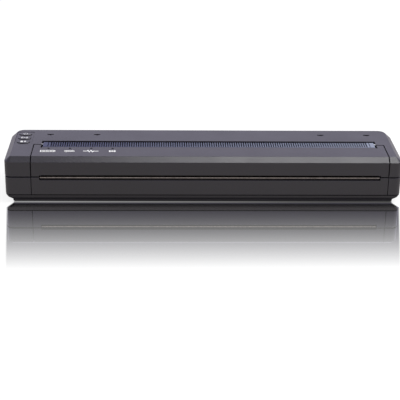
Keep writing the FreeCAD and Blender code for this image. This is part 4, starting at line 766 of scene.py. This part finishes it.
# The four finger pockets behind the strip are drawn narrower here than in the CAD, as in the photo.
pocket_half, pocket_share, pocket_shift = 3.5, 0.72, 0.4
for middle in (-101.85, -70.85, 79.15, 110.15):
    for vertex in upper_case.data.vertices:
        x, y, z = vertex.co * 1000
        if abs(x - middle) < pocket_half and 14.5 < y < 18.3 and z > 29.8:
            vertex.co.x = (middle + pocket_shift + (x - middle) * pocket_share) / 1000

# Case screws. Four black-zinc steel screws with pan heads and cross recesses, driven from the underside
# into the upper case's posts. Their threads are rolled, and cut their own way into the plastic.


def cross_screw(x, y, face, top):
    """One screw, in rings of 24 vertices from the recess in its head to its tip."""
    arm_length, arm_half, head, shank, thread, pitch = 1.15, 0.24, 1.8, 0.9, 0.18, 0.6
    corner = degrees(atan2(arm_half, arm_length))
    turns = [radians(90 * q + t) for q in range(4) for t in (0, corner, 25, 45, 65, 90 - corner)]

    def recess(scale):
        sides = [sorted((abs(cos(t)), abs(sin(t)))) for t in turns]
        return [scale * min(arm_length / high, arm_half / max(low, 1e-6)) for low, high in sides]

    rings = [(recess(0.55), face + 0.75), (recess(1.0), face + 0.04), ([1.35] * 24, face),
             ([1.68] * 24, face + 0.12), ([head] * 24, face + 0.4), ([head] * 24, face + 1.0)]
    height = face + 1.0
    while height < top - 1.4:
        rings += [([shank - thread] * 24, height), ([shank] * 24, height + pitch / 2)]
        height += pitch
    rings += [([shank - thread] * 24, height), ([0.25] * 24, top)]
    vertices = [Vector((x + r * cos(t), y + r * sin(t), z)) / 1000
                for radii, z in rings for t, r in zip(turns, radii)]
    return vertices, tube(len(rings), 24)


# Black zinc: nearly black, slightly blue, with a soft metallic gloss.
black_zinc = rolled_metal("black_zinc_plated_steel", "1b1b1e", "3d3d43", 0.3, 0.4)
middle_x, middle_y = mm_middle("case_screws")[:2]
quarters = {}
for vertex in frame["nodes"]["case_screws"].data.vertices:
    x, y, z = [c * 1000 for c in vertex.co]
    quarters.setdefault((x > middle_x, y > middle_y), []).append((x, y, z))
places = sorted([round(limit(values), 4) for limit in (min, max) for values in zip(*points)]
                for points in quarters.values())
forms = [cross_screw((x0 + x1) / 2, (y0 + y1) / 2, z0, z1) for x0, y0, z0, x1, y1, z1 in places]
screws = new_object("pan_head_screws", *joined(forms), black_zinc, "base", "screw_steel")
face_outward(screws, 35)
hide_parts("case_screws")

# Button bezel and its three buttons. The bezel clips into the top of the left end block. The buttons
# are dished charcoal ABS, and each stands on the stem of its tact switch. Their signs are pad printed.

rounded_copy("button_bezel", "button_bezel_moulding", charcoal_abs, 0.12)
button_abs = moulded_plastic("satin_button_abs", "26262a", 0.3, 0.6, 0.008)
for key in button_places:
    rounded_copy(key + "_button", key + "_button_moulding", button_abs, 0.2)


def printed_fill(name, outline, at, body):
    """A filled patch of printed ink, from an outline in millimetres round a place on a face."""
    vertices = [Vector((at[0] + x, at[1] + y, at[2] + level)) / 1000
                for level in (-ink_mm, ink_mm) for x, y in outline]
    new_object(name, vertices, tube(2, len(outline)), white_ink, body, "white_acetal")


# A power sign, radio waves, and a sheet with an arrow for feeding it. All three are plain signs.
power_x, power_y, power_z = button_places["power"]
ink_strokes("power_sign", [arc(1.3, 125, 415, 20), [(0, 0.2), (0, 1.9)]], 0.26,
            (power_x, power_y - 0.2, power_z), "power_key")
waves = [arc(radius, start, start + 90, 8) for radius in (1.1, 2.0) for start in (-45, 135)]
ink_strokes("link_sign", waves + [arc(0.25, 0, 360, 8)], 0.36, button_places["link"], "link_key")
printed_fill("feed_sign_sheet", [(-1.9, -1.2), (-0.3, -1.2), (-0.3, 0.7), (-0.8, 1.2), (-1.9, 1.2)],
             button_places["feed"], "feed_key")
printed_fill("feed_sign_arrow", [(1.05, -1.2), (2.0, 0.1), (1.4, 0.1), (1.4, 1.2), (0.7, 1.2), (0.7, 0.1),
                                 (0.1, 0.1)], button_places["feed"], "feed_key")

# Front panel. The lower front between two fine seams, a separate moulding that hooks over the floor's
# edge and closes the case below the exit slot.

rounded_copy("front_panel", "front_panel_moulding", charcoal_abs, 0.2)

# Release cover. Front and top in one L-shaped moulding that swings up on two pins. Four lamp signs are
# pad printed behind its front edge, one below each lamp. The rest of the face is bare.

rounded_copy("release_cover", "release_cover_moulding", charcoal_abs, 0.25)
cover_top = mm_box("release_cover")[1].z
sign_y = mm_box("power_indicator")[0].y - 4.2
lamp_signs = {
    "power": (0.7, [[(-4.7, -1.2), (3.9, -1.2), (3.9, 1.2), (-4.7, 1.2), (-4.7, -1.2)],
                    [(4.6, -0.6), (4.6, 0.6)], [(-3.5, 0), (-1.9, 0)], [(-1.1, 0), (0.5, 0)],
                    [(1.3, 0), (2.9, 0)]]),
    "data": (0.8, [[(-3.4, 0.7), (2.6, 0.7)], [(1.6, 1.5), (3.1, 0.7)], [(3.4, -0.7), (-2.6, -0.7)],
                   [(-1.6, -1.5), (-3.1, -0.7)]]),
    "status": (0.9, [[(-5.0, 0), (-2.6, 0), (-1.9, 1.4), (-0.9, -1.4), (0.1, 1.4), (1.1, -1.4), (1.8, 0),
                      (4.9, 0)]]),
    "link": (0.9, [arc(1.8, 130, 230, 8), arc(1.8, -50, 50, 8), arc(0.6, 0, 360, 10)]),
}
for lamp, (width, strokes) in lamp_signs.items():
    ink_strokes(lamp + "_lamp_sign", strokes, width,
                (mm_middle(lamp + "_indicator")[0], sign_y, cover_top), "cover")

# Rib guide. The strip that a sheet slides over on its way in: blue-grey ABS with 139 ribs that run over
# its rounded rear edge, a plain block at each end, and a bore in each block for a hinge pin.

rib_pitch = 1.5
rib_depth = 0.9
barrel = 1.6
block_length = 3.3
slit = 0.5
slit_depth = 1.2
end_play = 0.4
strip_low, strip_high = mm_box("rib_guide")
axis_y, axis_z = strip_high.y - barrel, strip_high.z - barrel
ribs_left = strip_low.x + block_length + slit
ribs_right = strip_high.x - block_length - slit
rib_count = int((ribs_right - ribs_left - rib_pitch) / rib_pitch)
first_groove = (ribs_left + ribs_right) / 2 - (rib_count - 1) * rib_pitch / 2 - rib_pitch / 4
# The outline as (y, z, whether the grooves cut it).
top = strip_high.z
front = strip_low.y
path = [(front, top - 2.0, 0), (front, top - 0.1, 0), (front + 0.08, top, 0), (front + 0.4, top, 0),
        (front + 0.48, top, 1), (front + 2.5, top, 1), (front + 5.5, top, 1), (axis_y, top, 1)]
for angle in (75, 60, 45, 30, 15, 0, -15, -25, -60, -90):
    c, s = cos(radians(angle)), sin(radians(angle))
    path.append((axis_y + barrel * c, axis_z + barrel * s, int(angle > -20)))
path += [(axis_y - 2.3, top - 3.2, 0), (axis_y - 2.3, top - 2.0, 0)]
# The sections from left to right as (x, depth of the groove there).
groove = ((-0.03, 0.14), (0.05, rib_depth), (0.7, rib_depth), (0.78, 0.14), (0.9, 0.03), (1.125, 0),
          (1.35, 0.03))
sections = [(strip_low.x + end_play, 0), (strip_low.x + block_length, 0),
            (strip_low.x + block_length + 0.05, slit_depth), (ribs_left - 0.05, slit_depth), (ribs_left, 0)]
for step in range(rib_count):
    x = first_groove + rib_pitch * step
    sections += [(x + along, depth) for along, depth in groove]
sections += [(ribs_right, 0), (ribs_right + 0.05, slit_depth),
             (strip_high.x - block_length - 0.05, slit_depth), (strip_high.x - block_length, 0),
             (strip_high.x - end_play, 0)]
vertices = []
for x, depth in sections:
    for y, z, grooved in path:
        inward = Vector((0, axis_y - max(y, axis_y), axis_z - z)).normalized()
        vertices.append((Vector((x, y, z)) + inward * depth * grooved) / 1000)
faces = tube(len(sections), len(path))[:-2]
# A blind bore in each end for a hinge pin.
bore = 0.85
bore_length = 3.0
bore_steps = 16
caps = []
for end, inward in ((0, 1), (len(sections) - 1, -1)):
    first = len(vertices)
    vertices += [Vector((sections[end][0] + along, axis_y + y, axis_z + z)) / 1000
                 for along in (0.0, bore_length * inward) for y, z in arc(bore, 0, 360, bore_steps)[:-1]]
    hole = tube(2, bore_steps)
    del hole[-2]
    faces += [tuple(first + i for i in side) for side in hole]
    caps += [[len(path) * end + j for j in range(len(path))], list(range(first, first + bore_steps))]
ribbed_abs, tree, here = new_material("blue_grey_abs")
strip = new_object("ribbed_strip", vertices, faces, ribbed_abs, "cover", "blue_grey_ribs")
bm = bmesh.new()
bm.from_mesh(strip.data)
bm.verts.ensure_lookup_table()
for outer, inner in (caps[:2], caps[2:]):
    rim = [bm.edges.get((bm.verts[loop[i]], bm.verts[loop[(i + 1) % len(loop)]]))
           for loop in (outer, inner) for i in range(len(loop))]
    bmesh.ops.triangle_fill(bm, edges=rim, use_beauty=True)
bm.to_mesh(strip.data)
bm.free()
face_outward(strip, 32)
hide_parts("rib_guide")
# Blue-grey ABS: a fine matt skin, a little smoother on the crests where paper rubs. The groove floors between
# the ribs are painted near black: painted shade.
past = add(tree, "VectorMath", [here, (0, axis_y / 1000, axis_z / 1000)], operation="SUBTRACT")
past = add(tree, "SeparateXYZ", [past]).outputs
behind = add(tree, "Math", [past["Y"], 0.0], operation="MAXIMUM")
radial = add(tree, "CombineXYZ", [0.0, behind, past["Z"]])
radial = add(tree, "VectorMath", [radial], operation="LENGTH")
crest = add(tree, "MapRange", [radial, (barrel - rib_depth) / 1000, (barrel - 0.05) / 1000],
            interpolation_type="SMOOTHSTEP")
mottle, skin = two_tones(tree, here, 240.0, 3.0, "2a2f4e", "383e60")
# The skin is painted paler towards the right end: a painted highlight, from the softbox that hangs over that
# end.
across = add(tree, "SeparateXYZ", [here]).outputs["X"]
across = add(tree, "MapRange", [across, -0.07, strip_high.x / 1000])
skin = add(tree, "Mix", [across, skin, srgb("7d8498")], data_type="RGBA")
# The near-black groove colour is painted shade in the recesses between the ribs.
colour = add(tree, "Mix", [crest, srgb("090b1c"), skin], data_type="RGBA")
close_material(tree, colour, (crest, 0.95, 0.55), mottle, 0.01, IOR=1.54)

# Inner guide. The cover's half of the paper way, in the same polished black ABS as the chute, with
# runners that face the chute's.

rounded_copy("inner_guide", "inner_guide_moulding", chute_abs, 0.15)
paper_gap = 1.2
guide_low, guide_high = mm_box("inner_guide")
runners("inner_guide_runners", chute_radius - paper_gap - 0.05, -0.3, [-16 - 6 * i for i in range(9)],
        [x for x in runner_places if guide_low.x + 1 < x < guide_high.x - 1], "cover")

# Hinge pins. Two ground steel pins, pressed into the upper case, that the cover's end blocks turn on.

for side in ("left", "right"):
    rounded_copy(side + "_hinge_pin", side + "_hinge_pin_bar", ground_steel, 0.15)

# Head frame and springs. The frame is bent from the same zinc-plated sheet as the chassis and is fixed
# under the cover's top. Blued spring-steel leaves press the head down on the platen.

rounded_copy("head_frame", "bent_head_frame", zinc_sheet, 0.1, segments=1)
spring_steel = rolled_metal("blued_spring_steel", "2f3846", "62707f", 0.3, 0.3, along="Y")
finish_node("head_springs", spring_steel)

# Heat sink. Extruded aluminium, sawn to length, with cooling grooves along its top and die lines along
# its sides. Steel pins in its ends are its pivots.

extruded_aluminium = rolled_metal("extruded_aluminium", "a2a4a6", "d0d2d4", 0.32, 0.22)
rounded_copy("heat_sink", "heat_sink_extrusion", extruded_aluminium, 0.12, segments=1)

# Thermal head. A glazed ceramic strip glued below the heat sink. A raised glaze line over the platen
# holds the heating dots, and a black epoxy bead behind it covers the driver chips.

head_low, head_high = mm_box("thermal_head")
glazed_ceramic, tree, here = new_material("glazed_alumina_ceramic")
parts = add(tree, "SeparateXYZ", [here]).outputs
# Gold conductors run across the strip. They are drawn 0.5 mm apart, much coarser than real ones.
lead = add(tree, "Math", [parts["X"], 0.00025], operation="PINGPONG")
lead = add(tree, "Math", [lead, 0.00014], operation="GREATER_THAN")
grain, glaze = two_tones(tree, here, 900.0, 3.0, "cfc9b8", "e6e1d2")
below = add(tree, "Math", [parts["Z"], (head_low.z + 0.02) / 1000], operation="LESS_THAN")
lead = add(tree, "Math", [lead, below], operation="MULTIPLY")
colour = add(tree, "Mix", [lead, glaze, srgb("b28b3f")], data_type="RGBA")
close_material(tree, colour, (grain, 0.1, 0.24), IOR=1.6)
rounded_copy("thermal_head", "thermal_head_strip", glazed_ceramic, 0.1, segments=1)


def bead(name, y, half, height, material, slot):
    """A low bead of glaze or epoxy along the underside of the head."""
    arch = [(y - half + 2 * half * i / 8, head_low.z - height * sin(pi * i / 8)) for i in range(9)]
    arch = [(y - half, head_low.z + 0.05), *arch[1:-1], (y + half, head_low.z + 0.05)]
    vertices = [Vector((x, *point)) / 1000 for x in (head_low.x + 2.0, head_high.x - 2.0) for point in arch]
    face_outward(new_object(name, vertices, tube(2, 9), material, "print_head", slot), 50)


platen_y = mm_middle("platen_rubber")[1]
bead("heating_line", platen_y, 0.6, 0.1, glazed_ceramic, "head_ceramic")
driver_epoxy = moulded_plastic("poured_black_epoxy", "111112", 0.25, 1.6, 0.02)
bead("driver_bead", platen_y + 2.4, 0.8, 0.35, driver_epoxy, "black_component")

# Indicator board. A narrow green board under the cover's top with one lamp below each window.

lamp_board_thickness = 0.8
finish_node("indicator_board", circuit_board("green_solder_mask_lamp_board",
                                             mm_box("indicator_board")[0].z, lamp_board_thickness))

# Indicator windows. Four small round lenses in smoked polycarbonate with a matt, light-spreading skin.
# Unlit, they are black dots.

smoked_polycarbonate, tree, here = new_material("smoked_polycarbonate")
swirl, colour = two_tones(tree, here, 500.0, 2.0, "08080a", "16161b", Distortion=1.0)
close_material(tree, colour, (swirl, 0.5, 0.62), IOR=1.58)
lens_drop = 0.4
for lamp in lamp_signs:
    window = rounded_copy(lamp + "_indicator", lamp + "_window", smoked_polycarbonate, 0.12)
    # Each lens sits a little below the cover's face, so the rim of its hole casts a shadow.
    for vertex in window.data.vertices:
        if vertex.co.z * 1000 > cover_top - 0.3:
            vertex.co.z -= lens_drop / 1000
